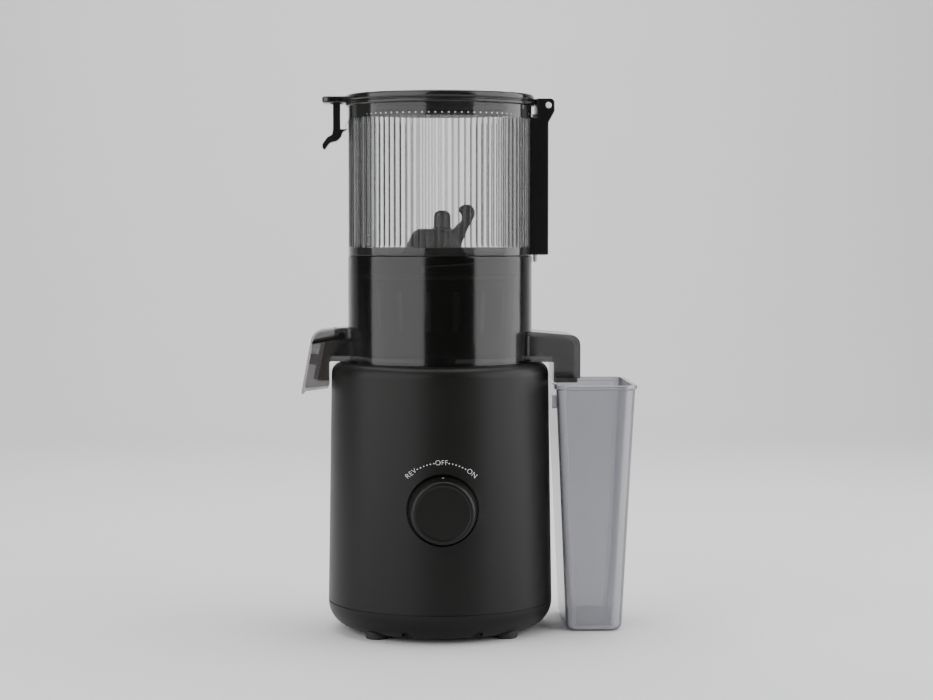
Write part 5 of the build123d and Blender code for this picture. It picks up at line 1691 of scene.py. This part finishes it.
@dataclass
class Studio:
    """Pale floor, soft lights and the camera, placed from the machine's drive axis."""

    axis: Point2
    lens: float = 84.9
    sensor: float = 36.0
    far: float = 50.0
    eye: Point3 = (-0.040, -1.7595, 0.315)
    aim: Point3 = (0.0212, -0.0005, 0.223)
    floor_colour: Colour = (0.72, 0.72, 0.73)
    floor_dark: float = 0.97
    floor_cloud_mm: float = 180.0
    floor_rough: float = 0.6
    floor_cloud_rough: float = 0.1
    floor_half: float = 3.0
    floor_span: Point2 = (-2.6, 1.6)
    backdrop_bend: float = 0.8
    backdrop_top: float = 4.0
    sky_colour: Colour = (0.9, 0.9, 0.91)
    sky: float = 0.06
    seen_sky: float = 0.5

    def stand(self, name: str, data: bpy.types.ID, place: Point3, aim: Point3) -> bpy.types.Object:
        """Puts a camera or lamp at a place and turns it to its aim, both from the drive axis.

        Args:
            name: Name of the object.
            data: The camera or light.
            place: Where it stands, in metres.
            aim: Where it points, in metres.

        Returns:
            The new object.
        """
        made = put(name, data)
        made.location = Vector((*self.axis, 0.0)) + Vector(place)
        made.rotation_euler = (Vector(aim) - Vector(place)).to_track_quat("-Z", "Y").to_euler()
        return made

    def camera(self) -> None:
        """Makes the camera and hands it to the scene."""
        data = bpy.data.cameras.new("camera")
        data.lens = self.lens
        data.sensor_width = self.sensor
        data.clip_end = self.far
        bpy.context.scene.camera = self.stand("camera", data, self.eye, self.aim)

    def floor(self) -> None:
        """Makes the floor with a backdrop that curves up behind."""
        graph = Graph("floor")
        cloud = graph.noise(self.floor_cloud_mm)
        material = graph.principled({
            "Base Color": graph.mix(cloud, shaded(self.floor_colour, self.floor_dark), self.floor_colour),
            "Roughness": self.floor_rough + cloud * self.floor_cloud_rough,
        })
        shape = bmesh.new()
        half, bend = self.floor_half, self.backdrop_bend
        near, far = self.floor_span
        rows = [(near, 0.0), *((far + bend * math.sin(a), bend * (1 - math.cos(a))) for a in quarter(12))]
        rows.append((far + bend, self.backdrop_top))
        pairs = [(shape.verts.new((-half, y, z)), shape.verts.new((half, y, z))) for y, z in rows]
        for (a, b), (c, d) in zip(pairs, pairs[1:]):
            shape.faces.new((a, b, d, c)).smooth = True
        mesh = bpy.data.meshes.new("floor")
        shape.to_mesh(mesh)
        shape.free()
        mesh.materials.append(material)
        put("floor", mesh)

    def light(self, lamp: Lamp) -> None:
        """Makes one soft area light.

        Args:
            lamp: The light to make.
        """
        data = bpy.data.lights.new(lamp.name, "AREA")
        data.shape = "RECTANGLE"
        data.size, data.size_y = lamp.size
        data.energy = lamp.power
        self.stand(lamp.name, data, lamp.place, lamp.aim)

    def lights(self) -> None:
        """Makes the dim world and all the lamps."""
        world = bpy.data.worlds.new("world")
        world.use_nodes = True
        tree = world.node_tree
        sky = tree.nodes["Background"]
        sky.inputs[0].default_value = (*self.sky_colour, 1.0)
        seen = tree.nodes.new("ShaderNodeLightPath")
        strength = tree.nodes.new("ShaderNodeMath")
        strength.operation = "MULTIPLY_ADD"
        strength.inputs[1].default_value = self.seen_sky
        strength.inputs[2].default_value = self.sky
        tree.links.new(seen.outputs["Is Camera Ray"], strength.inputs[0])
        tree.links.new(strength.outputs[0], sky.inputs[1])
        bpy.context.scene.world = world
        for lamp in LAMPS:
            self.light(lamp)

    def build(self) -> None:
        """Builds the whole studio."""
        self.camera()
        self.floor()
        self.lights()


# ---------------------------------------------------------------------------- machine


def drive_axis() -> Point2:
    """Place of the drive axis on the ground, read from the output shaft."""
    low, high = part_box("output_shaft")
    return (low.x + high.x) / 2, (low.y + high.y) / 2


def main() -> None:
    """Builds the studio and every sub-assembly in order."""
    logging.basicConfig(level=logging.INFO, format="%(name)s: %(message)s")
    axis = drive_axis()
    Studio(axis).build()
    wardrobe = Wardrobe(axis)
    wardrobe.dress_frame(frame["nodes"], frame["record"]["subparts"])
    shop = Workshop(axis, wardrobe)
    for assembly in (DialPrint, ControlKnob, FeedHopper, FeedScrew, ClearBowl, DripCap, HingePost, HingedLid,
                     SnapLatch, PulpBin):
        assembly(shop).build()


if __name__ == "__main__":
    main()
